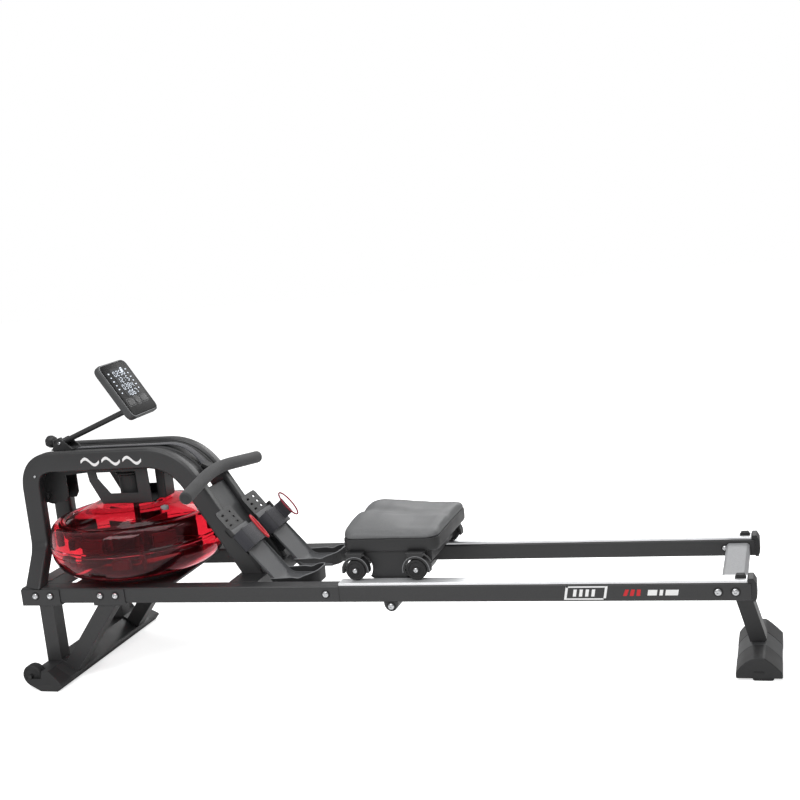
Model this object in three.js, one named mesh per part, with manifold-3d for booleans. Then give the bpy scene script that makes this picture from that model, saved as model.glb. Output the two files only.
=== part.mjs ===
// Water-resistance rowing machine. Millimetres, +Z up, +X towards the rear, left is -Y.
// Stations along X are measured from one datum near the front legs; the group is moved at the end
// so that the origin lies on the floor under the middle of the machine.
import * as THREE from "three";
import { mergeVertices } from "three/addons/utils/BufferGeometryUtils.js";
import Module from "manifold-3d";

const wasm = await Module();
wasm.setup();

// ---- clearances -------------------------------------------------------------------------------
const GAP = 0.3; // between pieces that touch
const RUN = 0.3; // radial clearance of a wheel, roller or pin

// ---- driving dimensions -----------------------------------------------------------------------
const rail = { gauge: 349, width: 45, height: 44, bottom: 222, wall: 3, corner: 5 };
rail.top = rail.bottom + rail.height;
rail.inner = (rail.gauge - rail.width) / 2;
rail.outer = (rail.gauge + rail.width) / 2;
const station = { front: -31, joint: 918, rear: 1945 };
const track = { height: 6.7, width: 41 };
track.top = rail.top + GAP + track.height;

const arch = { depth: 56, width: 33, spacing: 143, legX: -25, topZ: 599, bendX: 434, tilt: 30.6 };
arch.y = arch.spacing / 2;
arch.inner = arch.y - arch.width / 2;
arch.splayZ = 350; // where the front leg starts to spread towards the rail
arch.footX = 4; // middle of the front leg's foot on the rail
const leg = { x: 42, size: 44, wall: 5 };
const frontFoot = { length: 584, capLength: 62, height: 52 };
const roller = { x: 12, z: 38, radius: 30, width: 30, inset: 30, axle: 5, side: 2 };
const rearFoot = { x: 1948, width: 108, length: 277, height: 50, capLength: 92, padHeight: 6 };
rearFoot.capGrow = 0.8; // how far the end caps stand out from the middle piece
const rearLeg = { topX: 1903, bottomX: 1947, depth: 40, width: 56 };

const tank = { x: 254, radius: 252, seamZ: 365, bottomZ: 280, shoulderZ: 434, wall: 3.5 };
const neck = { lowRadius: 198, topRadius: 112, lowZ: 430, topZ: 467, groove: 5 };
const bracket = { front: 145, rear: 340, halfWidth: 58, plate: 3 };
const drum = { radius: 38, length: 78, shaftRadius: 8 };
const impeller = { blades: 6, thickness: 7, hubRadius: 26, hubTop: 406 };
// Two tiers of blades, the upper one turned by half a step.
const tiers = [
  { radius: 190, from: 303, to: 353, turn: 0 },
  { radius: 160, from: 362, to: 403, turn: 0.5 },
];
const pulley = { x: -2, z: 494, radius: 31, width: 40, axleRadius: 6 };
const strap = { width: 26, thickness: 2.4, from: 96, to: 562, bend: 66 };
const clip = { startX: 482.5, startZ: 561, width: 34, thickness: 9 };

const handle = { midX: 517.6, midZ: 546, endX: 538.6, endZ: 521, length: 479, grip: 17.5, bar: 11 };
const footrest = { x: 563, z: 449, tilt: 52, y: 85, length: 258, halfWidth: 47, earHalf: 57 };
const heel = { start: 62, halfWidth: 52, thickness: 4, rim: 12, cupLength: 116, cupHeight: 36 };
const footStrap = { start: 88, width: 52, height: 34, thickness: 3 };

const seat = { front: 925, rear: 1183, halfWidth: 158, trayZ: 346, trayHeight: 38, cushion: 48 };
const wheel = { radius: 27, width: 18, frontX: 962, rearX: 1126, y: 167, axle: 5 };
wheel.z = track.top + GAP + wheel.radius;
const stop = { x: 1908, length: 26, height: 8 };

const pivot = { x: 50, z: 641, eye: 11, halfWidth: 20 };
const tiltPivot = { x: 272, z: 724, eye: 9, halfWidth: 11 };
const armRadius = 8;
const display = { x: 237, z: 859, tilt: 57.7, length: 164, halfWidth: 75, depth: 24, corner: 22 };
const face = { margin: 5, thickness: 3 };
const button = { x: 128, pad: 13, rise: 1.2, travel: 1, wingY: 36, wingLength: 20, wingWidth: 34 };

// ---- small helpers ----------------------------------------------------------------------------
const DEG = Math.PI / 180;
const machine = new THREE.Group();
const finish = {
  frame: { color: 0x3c3d3f, roughness: 0.45, metalness: 0.3 },
  silver: { color: 0xd8dadc, roughness: 0.35, metalness: 0.8 },
  paleGrey: { color: 0xb2b3b5, roughness: 0.5, metalness: 0.2 },
  plastic: { color: 0x2b2c2e, roughness: 0.6, metalness: 0 },
  greyPlastic: { color: 0x6a6c6e, roughness: 0.6, metalness: 0 },
  rubber: { color: 0x1b1b1c, roughness: 0.85, metalness: 0 },
  foam: { color: 0x5a5b5c, roughness: 0.9, metalness: 0 },
  tankRed: { color: 0xc01020, roughness: 0.1, metalness: 0 },
  webbing: { color: 0x303136, roughness: 0.9, metalness: 0 },
  gloss: { color: 0x101214, roughness: 0.12, metalness: 0 },
  cushion: { color: 0x707274, roughness: 0.8, metalness: 0 },
};

function add(name, geometry, look, parent = machine) {
  const mesh = new THREE.Mesh(geometry, new THREE.MeshStandardMaterial(finish[look]));
  mesh.name = name;
  parent.add(mesh);
  return mesh;
}

function solid(geometry) {
  const plain = geometry.clone();
  for (const attribute of ["normal", "uv"]) plain.deleteAttribute(attribute);
  const merged = mergeVertices(plain, 1e-4);
  return new wasm.Manifold(
    new wasm.Mesh({
      numProp: 3,
      vertProperties: new Float32Array(merged.attributes.position.array),
      triVerts: new Uint32Array(merged.index.array),
    }),
  );
}

function geometryOf(manifold) {
  const mesh = manifold.getMesh();
  const geometry = new THREE.BufferGeometry();
  geometry.setAttribute("position", new THREE.BufferAttribute(new Float32Array(mesh.vertProperties), 3));
  geometry.setIndex(new THREE.BufferAttribute(new Uint32Array(mesh.triVerts), 1));
  return geometry.toNonIndexed();
}

function join(first, ...others) {
  return geometryOf(others.reduce((sum, part) => sum.add(solid(part)), solid(first)));
}

function cut(first, ...others) {
  return geometryOf(others.reduce((rest, part) => rest.subtract(solid(part)), solid(first)));
}

// Box between two corners.
function block(x0, x1, y0, y1, z0, z1) {
  const box = new THREE.BoxGeometry(x1 - x0, y1 - y0, z1 - z0);
  return box.translate((x0 + x1) / 2, (y0 + y1) / 2, (z0 + z1) / 2);
}

// A pair of limits, lower one first.
function span(a, b) {
  return [Math.min(a, b), Math.max(a, b)];
}

function shapeOf(points) {
  return new THREE.Shape(points.map(([a, b]) => new THREE.Vector2(a, b)));
}

function roundedRect(width, height, radius) {
  const w = width / 2;
  const h = height / 2;
  const shape = new THREE.Shape();
  shape.moveTo(-w + radius, -h);
  shape.lineTo(w - radius, -h);
  shape.absarc(w - radius, -h + radius, radius, -Math.PI / 2, 0);
  shape.absarc(w - radius, h - radius, radius, 0, Math.PI / 2);
  shape.absarc(-w + radius, h - radius, radius, Math.PI / 2, Math.PI);
  shape.absarc(-w + radius, -h + radius, radius, Math.PI, 1.5 * Math.PI);
  return shape;
}

// Profile in X and Z, extruded along Y.
function prismY(shape, y0, y1, curveSegments = 4) {
  const geometry = new THREE.ExtrudeGeometry(shape, { depth: y1 - y0, bevelEnabled: false, curveSegments });
  return geometry.rotateX(Math.PI / 2).translate(0, y1, 0);
}

// Profile in Y and Z, extruded along X.
function prismX(shape, x0, x1, curveSegments = 3) {
  const geometry = new THREE.ExtrudeGeometry(shape, { depth: x1 - x0, bevelEnabled: false, curveSegments });
  const turn = new THREE.Matrix4().set(0, 0, 1, x0, 1, 0, 0, 0, 0, 1, 0, 0, 0, 0, 0, 1);
  return geometry.applyMatrix4(turn);
}

// Profile in X and Y, extruded along Z.
function prismZ(shape, z0, z1, curveSegments = 4) {
  const geometry = new THREE.ExtrudeGeometry(shape, { depth: z1 - z0, bevelEnabled: false, curveSegments });
  return geometry.translate(0, 0, z0);
}

// Cylinders along Y and Z.
function rodY(radius, x, y0, y1, z, segments = 20) {
  return new THREE.CylinderGeometry(radius, radius, y1 - y0, segments).translate(x, (y0 + y1) / 2, z);
}

function rodZ(radius, x, y, z0, z1, segments = 20) {
  const rod = new THREE.CylinderGeometry(radius, radius, z1 - z0, segments);
  return rod.rotateX(Math.PI / 2).translate(x, y, (z0 + z1) / 2);
}

// Turned piece: the profile is a closed loop of [radius, height] pairs about the Z axis.
function turned(profile, segments) {
  const points = [...profile, profile[0]].map(([r, z]) => new THREE.Vector2(r, z));
  return new THREE.LatheGeometry(points, segments).rotateX(Math.PI / 2);
}

// A path whose section keeps its width as level with the Y axis as the path allows,
// or with the X axis on a path that itself runs along Y.
class LevelPath extends THREE.CurvePath {
  alongY = false;

  computeFrenetFrames(segments) {
    const tangents = [];
    const normals = [];
    const binormals = [];
    for (let i = 0; i <= segments; i++) {
      const tangent = this.getTangentAt(i / segments).normalize();
      const level = this.alongY ? new THREE.Vector3(1, 0, 0) : new THREE.Vector3(0, 1, 0);
      const normal = level.addScaledVector(tangent, -tangent.dot(level)).normalize();
      tangents.push(tangent);
      normals.push(normal);
      binormals.push(new THREE.Vector3().crossVectors(tangent, normal));
    }
    return { tangents, normals, binormals };
  }
}

// Path of straight runs whose corners are rounded: each point is [x, y, z, tangent length].
function filleted(points) {
  const path = new LevelPath();
  const corners = points.map(([x, y, z]) => new THREE.Vector3(x, y, z));
  let from = corners[0];
  for (let i = 1; i < corners.length - 1; i++) {
    const before = corners[i].clone().sub(corners[i - 1]).normalize();
    const after = corners[i + 1].clone().sub(corners[i]).normalize();
    const start = corners[i].clone().addScaledVector(before, -points[i][3]);
    const end = corners[i].clone().addScaledVector(after, points[i][3]);
    path.add(new THREE.LineCurve3(from, start));
    path.add(new THREE.QuadraticBezierCurve3(start, corners[i], end));
    from = end;
  }
  path.add(new THREE.LineCurve3(from, corners.at(-1)));
  return path;
}

// The section's first direction lies along Y and its second one across the path.
function sweep(section, extrudePath, steps, curveSegments = 1) {
  return new THREE.ExtrudeGeometry(section, { steps, curveSegments, extrudePath, bevelEnabled: false });
}

function circle(radius, hole = 0) {
  const shape = new THREE.Shape();
  shape.absarc(0, 0, radius, 0, 2 * Math.PI);
  if (hole > 0) {
    const bore = new THREE.Path();
    bore.absarc(0, 0, hole, 0, 2 * Math.PI, true);
    shape.holes.push(bore);
  }
  return shape;
}

const SIDES = [
  ["left", -1],
  ["right", 1],
];

// ---- rails and cross members --------------------------------------------------------------------
function railTube(x0, x1, y) {
  const outside = roundedRect(rail.width, rail.height, rail.corner);
  const t = 2 * rail.wall;
  const inside = roundedRect(rail.width - t, rail.height - t, rail.corner - rail.wall);
  outside.holes.push(new THREE.Path(inside.getPoints(2).reverse()));
  return prismX(outside, x0, x1, 2).translate(0, y, rail.bottom + rail.height / 2);
}

function buildRails() {
  for (const [side, s] of SIDES) {
    const y = (s * rail.gauge) / 2;
    const slant = prismY(
      shapeOf([
        [station.front - 5, rail.bottom - 1],
        [station.front + 12, rail.bottom - 1],
        [station.front, rail.top + 1],
        [station.front - 5, rail.top + 1],
      ]),
      y - rail.width,
      y + rail.width,
    );
    add(`base_rail_${side}`, cut(railTube(station.front, station.joint, y), slant), "frame");
    add(`slide_rail_${side}`, railTube(station.joint + GAP, station.rear, y), "frame");
    const trackEnd = station.rear - 8;
    const half = track.width / 2;
    const section = shapeOf([
      [-half, 0],
      [half, 0],
      [half, track.height - 2],
      [half - 2, track.height],
      [-half + 2, track.height],
      [-half, track.height - 2],
    ]);
    const strip = prismX(section, station.joint + GAP, trackEnd).translate(0, y, rail.top + GAP);
    add(`track_${side}`, strip, "silver");
    const end = station.rear + GAP;
    const capProfile = shapeOf([
      [end, rail.bottom - 1],
      [end + 8, rail.bottom - 1],
      [end + 12, rail.bottom + 10],
      [end + 12, rail.top - 2],
      [end + 5, track.top + 4],
      [end - 5, track.top + 4],
      [trackEnd + GAP, track.top + 1],
      [trackEnd + GAP, rail.top + GAP],
      [end, rail.top + GAP],
    ]);
    const capHalf = rail.width / 2 + 0.8;
    add(`rail_end_cap_${side}`, prismY(capProfile, y - capHalf, y + capHalf), "plastic");
    const bumper = prismY(
      shapeOf([
        [stop.x, 0],
        [stop.x + stop.length, 0],
        [stop.x + stop.length - 4, stop.height],
        [stop.x + 4, stop.height],
      ]),
      y - 9,
      y + 9,
    );
    add(`seat_stop_${side}`, bumper.translate(0, 0, track.top + GAP), "rubber");
  }
}

const between = rail.inner - GAP; // half length of whatever spans the rails
const insideSaddle = between - leg.wall / 2 - GAP; // the same where the saddles line them
const archCross = { front: 590, rear: 672, bottom: 228 };

function buildCrossMembers() {
  const front = station.front + 3;
  const frontTube = block(front, front + 45, -insideSaddle, insideSaddle, rail.bottom + 2, rail.top - 1);
  add("front_cross_tube", frontTube, "paleGrey");
  const rearTube = block(archCross.front, archCross.rear, -between, between, archCross.bottom, rail.top);
  add("arch_cross_tube", rearTube, "frame");
  const bar = { x: 1055, half: 19, depth: 25 };
  const section = new THREE.Shape();
  section.moveTo(bar.x - bar.half, rail.bottom - GAP);
  section.bezierCurveTo(
    bar.x - bar.half,
    rail.bottom - 1.35 * bar.depth,
    bar.x + bar.half,
    rail.bottom - 1.35 * bar.depth,
    bar.x + bar.half,
    rail.bottom - GAP,
  );
  add("lower_cross_bar", prismY(section, 4 - rail.outer, rail.outer - 4, 12), "frame");
  const plate = prismY(
    shapeOf([
      [1874, 226],
      [1932, 226],
      [1932, 252],
      [1926, 257],
      [1880, 257],
      [1874, 252],
    ]),
    -between,
    between,
  );
  add("rear_cross_plate", plate, "paleGrey");
}

// ---- legs and feet ------------------------------------------------------------------------------
const saddles = [
  { from: station.front, to: 91 },
  { from: 196, to: 294 },
];

// Two legs in a V and the two channels that hold them under one rail.
function legFrame(y) {
  const half = rail.width / 2 + GAP + leg.wall / 2;
  const channel = ({ from, to }) =>
    cut(
      block(from, to, y - half, y + half, rail.bottom - GAP - leg.wall, rail.top - 3),
      block(
        from - 1,
        to + 1,
        y - rail.width / 2 - GAP,
        y + rail.width / 2 + GAP,
        rail.bottom - GAP,
        rail.top,
      ),
    );
  const top = rail.bottom - GAP - leg.wall / 2;
  const w = leg.size / 2;
  const straight = block(leg.x - w, leg.x + w, y - w, y + w, frontFoot.height + GAP, top);
  const slanted = prismY(
    shapeOf([
      [208, top],
      [264, top],
      [frontRidge.rear + GAP, frontRidge.rearZ + GAP],
      [frontRidge.front + GAP, frontRidge.frontZ + GAP],
    ]),
    y - w,
    y + w,
  );
  const ledge = frontFoot.height + GAP;
  const shoe = prismY(
    shapeOf([
      [20, ledge],
      [frontRidge.top + GAP, ledge],
      [frontRidge.rear + GAP, frontRidge.rearZ + GAP],
      [frontRidge.rear + 3, frontRidge.rearZ + 5],
      [frontRidge.top + 2, ledge + 5],
      [20, ledge + 5],
    ]),
    y - w,
    y + w,
  );
  return join(channel(saddles[0]), channel(saddles[1]), straight, slanted, shoe);
}

// The sloping rear face of the front foot, from its top edge to its rear edge.
const frontRidge = { top: 64, front: 74, frontZ: 45, rear: 108, rearZ: 22 };

// The front foot's section: flat on the floor, with a sloping rear face for the slanted leg.
function frontFootShape() {
  return shapeOf([
    [46, 0],
    [98, 0],
    [frontRidge.rear + 4, 16],
    [frontRidge.rear, frontRidge.rearZ],
    [frontRidge.top, frontFoot.height],
    [18, frontFoot.height],
    [2, 40],
    [2, 24],
  ]);
}

function buildLegsAndFeet() {
  for (const [side, s] of SIDES) add(`leg_frame_${side}`, legFrame((s * rail.gauge) / 2), "frame");
  const half = frontFoot.length / 2;
  const capInner = half - frontFoot.capLength;
  add("front_foot_tube", prismY(frontFootShape(), -capInner + GAP, capInner - GAP), "frame");
  for (const [side, s] of SIDES) {
    const shell = prismY(frontFootShape(), ...span(s * capInner, s * half));
    const wheelY = s * (half - roller.inset);
    const slotHalf = roller.width / 2 + roller.side;
    const slotRear = roller.x + roller.radius + roller.side;
    const slot = block(-50, slotRear, wheelY - slotHalf, wheelY + slotHalf, -1, frontFoot.height + 1);
    const axle = rodY(roller.axle, roller.x, wheelY - slotHalf - 1, wheelY + slotHalf + 1, roller.z, 16);
    const bevel = [
      [half + 1, -1],
      [half + 1, frontFoot.height + 1],
      [half - 22, frontFoot.height + 1],
      [half - 6, 18],
      [half - 6, -1],
    ].map(([y, z]) => [s * y, z]);
    const chamfer = prismX(shapeOf(bevel), -12, 130);
    add(`front_foot_cap_${side}`, join(cut(shell, chamfer, slot), axle), "plastic");
    const w = roller.width / 2;
    const tyre = turned(
      [
        [roller.axle + RUN, -w],
        [roller.radius - 4, -w],
        [roller.radius, -w + 4],
        [roller.radius, w - 4],
        [roller.radius - 4, w],
        [roller.axle + RUN, w],
      ],
      28,
    );
    tyre.rotateX(Math.PI / 2).translate(roller.x, wheelY, roller.z);
    add(`transport_wheel_${side}`, tyre, "rubber");
  }

  const w = rearFoot.width / 2;
  const capGrow = rearFoot.capGrow;
  const dome = (grow) => {
    const shape = new THREE.Shape();
    const base = rearFoot.padHeight - grow;
    shape.moveTo(rearFoot.x - w - grow, base);
    shape.lineTo(rearFoot.x + w + grow, base);
    shape.lineTo(rearFoot.x + w + grow, base + 14);
    const crown = rearFoot.height + 6 + grow;
    shape.quadraticCurveTo(rearFoot.x + w / 2, rearFoot.height, rearFoot.x + 14, crown);
    shape.lineTo(rearFoot.x - 8, crown);
    shape.quadraticCurveTo(rearFoot.x - w / 1.6, rearFoot.height, rearFoot.x - w - grow, base + 14);
    return shape;
  };
  const end = rearFoot.length / 2;
  const seam = end - rearFoot.capLength;
  add("rear_foot_body", prismY(dome(0), -seam + GAP, seam - GAP, 6), "greyPlastic");
  for (const [side, s] of SIDES) {
    const shell = prismY(dome(capGrow), ...span(s * seam, s * end), 6);
    const padY = s * (end - 22);
    const pad = block(rearFoot.x - 16, rearFoot.x + 34, padY - 22, padY + 22, 0, rearFoot.padHeight + 2);
    add(`rear_foot_cap_${side}`, join(shell, pad), "plastic");
  }
  const d = rearLeg.depth / 2;
  const post = prismY(
    shapeOf([
      [rearLeg.topX - d, 226 - GAP],
      [rearLeg.bottomX - d, rearFoot.height + 6 + GAP],
      [rearLeg.bottomX + d - 5, rearFoot.height + 6 + GAP],
      [rearLeg.bottomX + d, rearFoot.height + 12],
      [rearLeg.topX + d, 226 - GAP],
    ]),
    -rearLeg.width / 2,
    rearLeg.width / 2,
  );
  add("rear_leg", post, "frame");
}

// ---- arches, covers and the pull mechanism ------------------------------------------------------
const slope = { x: Math.sin(arch.tilt * DEG), z: -Math.cos(arch.tilt * DEG) };

// Point on the rear leg's centre line at a height.
function rearLegX(z) {
  return arch.bendX + ((arch.topZ - z) * slope.x) / -slope.z;
}

function archTube(s) {
  const y = s * arch.y;
  const splayEnd = { y: (s * rail.gauge) / 2 - s * 2, z: rail.top };
  const drop = 40;
  const run = { x: arch.footX - arch.legX, y: splayEnd.y - y, z: splayEnd.z - arch.splayZ };
  const beyond = 1 + drop / Math.abs(run.z);
  const path = filleted([
    [arch.legX + run.x * beyond, y + run.y * beyond, arch.splayZ + run.z * beyond],
    [arch.legX, y, arch.splayZ, 28],
    [arch.legX, y, arch.topZ, 78],
    [arch.bendX, y, arch.topZ, 92],
    [rearLegX(rail.top - drop), y, rail.top - drop],
  ]);
  const tube = sweep(roundedRect(arch.width, arch.depth, 6), path, 48);
  const floor = block(-300, 900, -400, 400, 0, rail.top + GAP);
  return cut(tube, floor);
}

function offsetPath(inset) {
  const k = inset * Math.tan((90 - arch.tilt) * DEG * 0.5);
  return { z: arch.topZ + inset, x: arch.bendX + k };
}

function coverBand({ from, to, inset, thickness, halfWidth, bend }) {
  const middle = offsetPath(inset);
  const leg = (z) => middle.x + ((middle.z - z) * slope.x) / -slope.z;
  const path = filleted([
    [from, 0, middle.z],
    [middle.x, 0, middle.z, bend],
    [leg(to), 0, to],
  ]);
  const t = thickness / 2;
  const w = halfWidth;
  return sweep(shapeOf([[-w, -t], [w, -t], [w, t], [-w, t]]), path, 28);
}

const cover = { from: 22, to: 515, inset: 16, thickness: 10, halfWidth: arch.inner - GAP, bend: 100 };
cover.topZ = arch.topZ + cover.inset + cover.thickness / 2;

function buildArches() {
  for (const [side, s] of SIDES) add(`arch_${side}`, archTube(s), "frame");
  add("top_cover", coverBand(cover), "plastic");

  // Pale panel between the rear legs, flush with the lower half of the arches.
  const inset = 14;
  const leg = (z) => offsetPath(inset).x + ((offsetPath(inset).z - z) * slope.x) / -slope.z;
  const panelTop = cover.to - 16;
  const t = 4;
  const panel = prismY(
    shapeOf([
      [leg(panelTop), panelTop],
      [leg(300), 300],
      [leg(300) - t / -slope.z, 300],
      [leg(panelTop) - t / -slope.z, panelTop],
    ].reverse()),
    -cover.halfWidth,
    cover.halfWidth,
  );
  add("center_panel", panel, "paleGrey");

  // Housing of the front pulley: cheeks and a roof that runs back to the tank bracket.
  const cheekY = pulley.width / 2 + 6;
  const outline = shapeOf([
    [-48, 470],
    [46, 470],
    [56, 486],
    [56, 548],
    [bracket.front + 20, 556],
    [bracket.front + 20, bracketTop - bracket.plate - GAP],
    [-48, bracketTop - bracket.plate - GAP],
  ]);
  const body = prismY(outline, -cheekY - 4, cheekY + 4);
  const hollow = block(-60, 60, -cheekY, cheekY, 440, 548);
  const axle = rodY(pulley.axleRadius, pulley.x, -arch.inner + GAP, arch.inner - GAP, pulley.z, 16);
  add("pulley_housing", join(cut(body, hollow), axle), "plastic");
}

const bracketTop = arch.topZ - arch.depth / 2 - GAP;

function buildTankBracket() {
  const { front, rear, halfWidth, plate } = bracket;
  const pentagon = shapeOf([
    [front, bracketTop - 0.5],
    [front + 5, 534],
    [front + 39, 468],
    [rear, 468],
    [rear - 4, bracketTop - 0.5],
  ]);
  const window = shapeOf([
    [front + 29, bracketTop - 12],
    [front + 32, 541],
    [front + 67, 497],
    [rear - 40, 497],
    [rear - 41, bracketTop - 12],
  ]);
  const inner = halfWidth - plate;
  const core = block(front - 20, rear + 20, -inner, inner, 468 + plate, bracketTop - plate);
  const through = prismY(window, -halfWidth - 5, halfWidth + 5);
  const shaftHole = rodZ(drum.shaftRadius + RUN, tank.x, 0, 460, 480, 20);
  const ears = block(front, rear - 4, -arch.y, arch.y, bracketTop - plate, bracketTop);
  const box = cut(prismY(pentagon, -halfWidth, halfWidth), core, through, shaftHole);
  add("tank_bracket", join(box, ears), "frame");

  const reel = turned(
    [
      [drum.shaftRadius + RUN, 0],
      [drum.radius + 6, 0],
      [drum.radius + 6, 4],
      [drum.radius, 8],
      [drum.radius, drum.length - 8],
      [drum.radius + 6, drum.length - 4],
      [drum.radius + 6, drum.length],
      [drum.shaftRadius + RUN, drum.length],
    ],
    28,
  );
  add("strap_drum", reel, "plastic").position.set(tank.x, 0, 468 + bracket.plate + 2 * GAP);
}

function buildPulleys() {
  const w = pulley.width / 2;
  const wheelProfile = turned(
    [
      [pulley.axleRadius + RUN, -w],
      [pulley.radius, -w],
      [pulley.radius, -w + 4],
      [pulley.radius - 5, -w + 6],
      [pulley.radius - 5, w - 6],
      [pulley.radius, w - 4],
      [pulley.radius, w],
      [pulley.axleRadius + RUN, w],
    ],
    28,
  );
  add("front_pulley", wheelProfile.rotateX(Math.PI / 2).translate(pulley.x, 0, pulley.z), "plastic");
}

// The strap lies on the cover, from the handle's clip to the guide slot at the front.
function buildStrap() {
  const inset = cover.inset + cover.thickness / 2 + GAP + strap.thickness / 2;
  const { width, thickness, from, to, bend } = strap;
  add("pull_strap", coverBand({ from, to, inset, thickness, halfWidth: width / 2, bend }), "webbing");
}

// ---- handle -------------------------------------------------------------------------------------
function handlePath(length) {
  const half = length / 2;
  const k = half / (handle.length / 2);
  const drop = { x: (handle.endX - handle.midX) * k, z: (handle.midZ - handle.endZ) * k };
  const path = filleted([
    [handle.midX + drop.x, -half, handle.midZ - drop.z],
    [handle.midX - 2, 0, handle.midZ + 2, 90],
    [handle.midX + drop.x, half, handle.midZ - drop.z],
  ]);
  path.alongY = true;
  return path;
}

function buildHandle() {
  const grip = sweep(circle(handle.grip, handle.bar + GAP), handlePath(handle.length), 16, 6);
  add("handle_grip", grip, "foam");
  add("handle_bar", sweep(circle(handle.bar), handlePath(handle.length - 6), 16, 6), "silver");
  // The clip reaches from the strap's end to the middle of the grip.
  const middle = handlePath(handle.length).getPointAt(0.5);
  const reach = Math.hypot(middle.x - clip.startX, middle.z - clip.startZ) - handle.grip - GAP;
  const buckle = block(2, reach, -clip.width / 2, clip.width / 2, -clip.thickness / 2, clip.thickness / 2);
  const mesh = add("strap_clip", buckle, "plastic");
  mesh.position.set(clip.startX, 0, clip.startZ);
  mesh.rotation.y = Math.atan2(clip.startZ - middle.z, middle.x - clip.startX);
}

// ---- tank ---------------------------------------------------------------------------------------
function buildTank() {
  const { radius: R, wall: t, seamZ, bottomZ, shoulderZ } = tank;
  const seat = GAP / 2;
  const bowl = turned(
    [
      [40, bottomZ],
      [180, bottomZ],
      [208, bottomZ + 9],
      [232, bottomZ + 27],
      [246, bottomZ + 52],
      [R - 3, seamZ - 10],
      [R, seamZ - 8],
      [R, seamZ - seat],
      [R - 3 - t, seamZ - seat],
      [246 - t, bottomZ + 53],
      [232 - t, bottomZ + 30],
      [206, bottomZ + 9 + t],
      [179, bottomZ + t],
      [40, bottomZ + t],
    ],
    36,
  );
  const bowlFloor = rodZ(41, 0, 0, bottomZ, bottomZ + t, 24);
  const socket = turned(
    [
      [drum.shaftRadius + RUN, bottomZ + 1],
      [18, bottomZ + 1],
      [18, bottomZ + 14],
      [drum.shaftRadius + RUN, bottomZ + 14],
    ],
    20,
  );
  add("tank_lower_shell", join(bowl, bowlFloor, socket), "tankRed").position.x = tank.x;

  const lid = turned(
    [
      [R, seamZ + seat],
      [R, seamZ + 8],
      [R - 3, seamZ + 10],
      [R - 8, seamZ + 45],
      [R - 17, shoulderZ - 9],
      [R - 30, shoulderZ - 2],
      [R - 41, shoulderZ],
      [neck.lowRadius + neck.groove, shoulderZ - neck.groove],
      [neck.lowRadius, neck.lowZ],
      [neck.topRadius, neck.topZ],
      [drum.shaftRadius + RUN, neck.topZ],
      [drum.shaftRadius + RUN, neck.topZ - t],
      [neck.topRadius - t, neck.topZ - t],
      [neck.lowRadius - 2, neck.lowZ - t],
      [neck.lowRadius + neck.groove + 1, shoulderZ - neck.groove - t],
      [R - 42, shoulderZ - t],
      [R - 31, shoulderZ - 2 - t],
      [R - 17 - t, shoulderZ - 10],
      [R - 8 - t, seamZ + 44],
      [R - 3 - t, seamZ + seat],
    ],
    36,
  );
  add("tank_upper_shell", lid, "tankRed").position.x = tank.x;

  const top = 468 + bracket.plate + 2 * GAP + drum.length + 4;
  const parts = [rodZ(impeller.hubRadius, 0, 0, tiers[0].from, impeller.hubTop, 20)];
  for (const { radius, from, to, turn } of tiers)
    for (let i = 0; i < impeller.blades; i++) {
      const half = impeller.thickness / 2;
      const blade = block(10, radius, -half, half, from, to);
      parts.push(blade.rotateZ(((i + turn) * 2 * Math.PI) / impeller.blades));
    }
  const shaft = rodZ(drum.shaftRadius, 0, 0, bottomZ + t + 1, top, 20);
  add("impeller", join(shaft, ...parts), "plastic").position.x = tank.x;

  const tray = block(24, 420, -insideSaddle, insideSaddle, rail.top - 8, rail.top - 2);
  const ring = rodZ(150, tank.x, 0, rail.top - 3, bottomZ - GAP, 36);
  const slot = block(84, 112, -rail.inner + 12, rail.inner - 12, rail.top - 20, rail.top + 20);
  add("tank_cradle", cut(join(tray, ring), slot), "frame");
}

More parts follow.
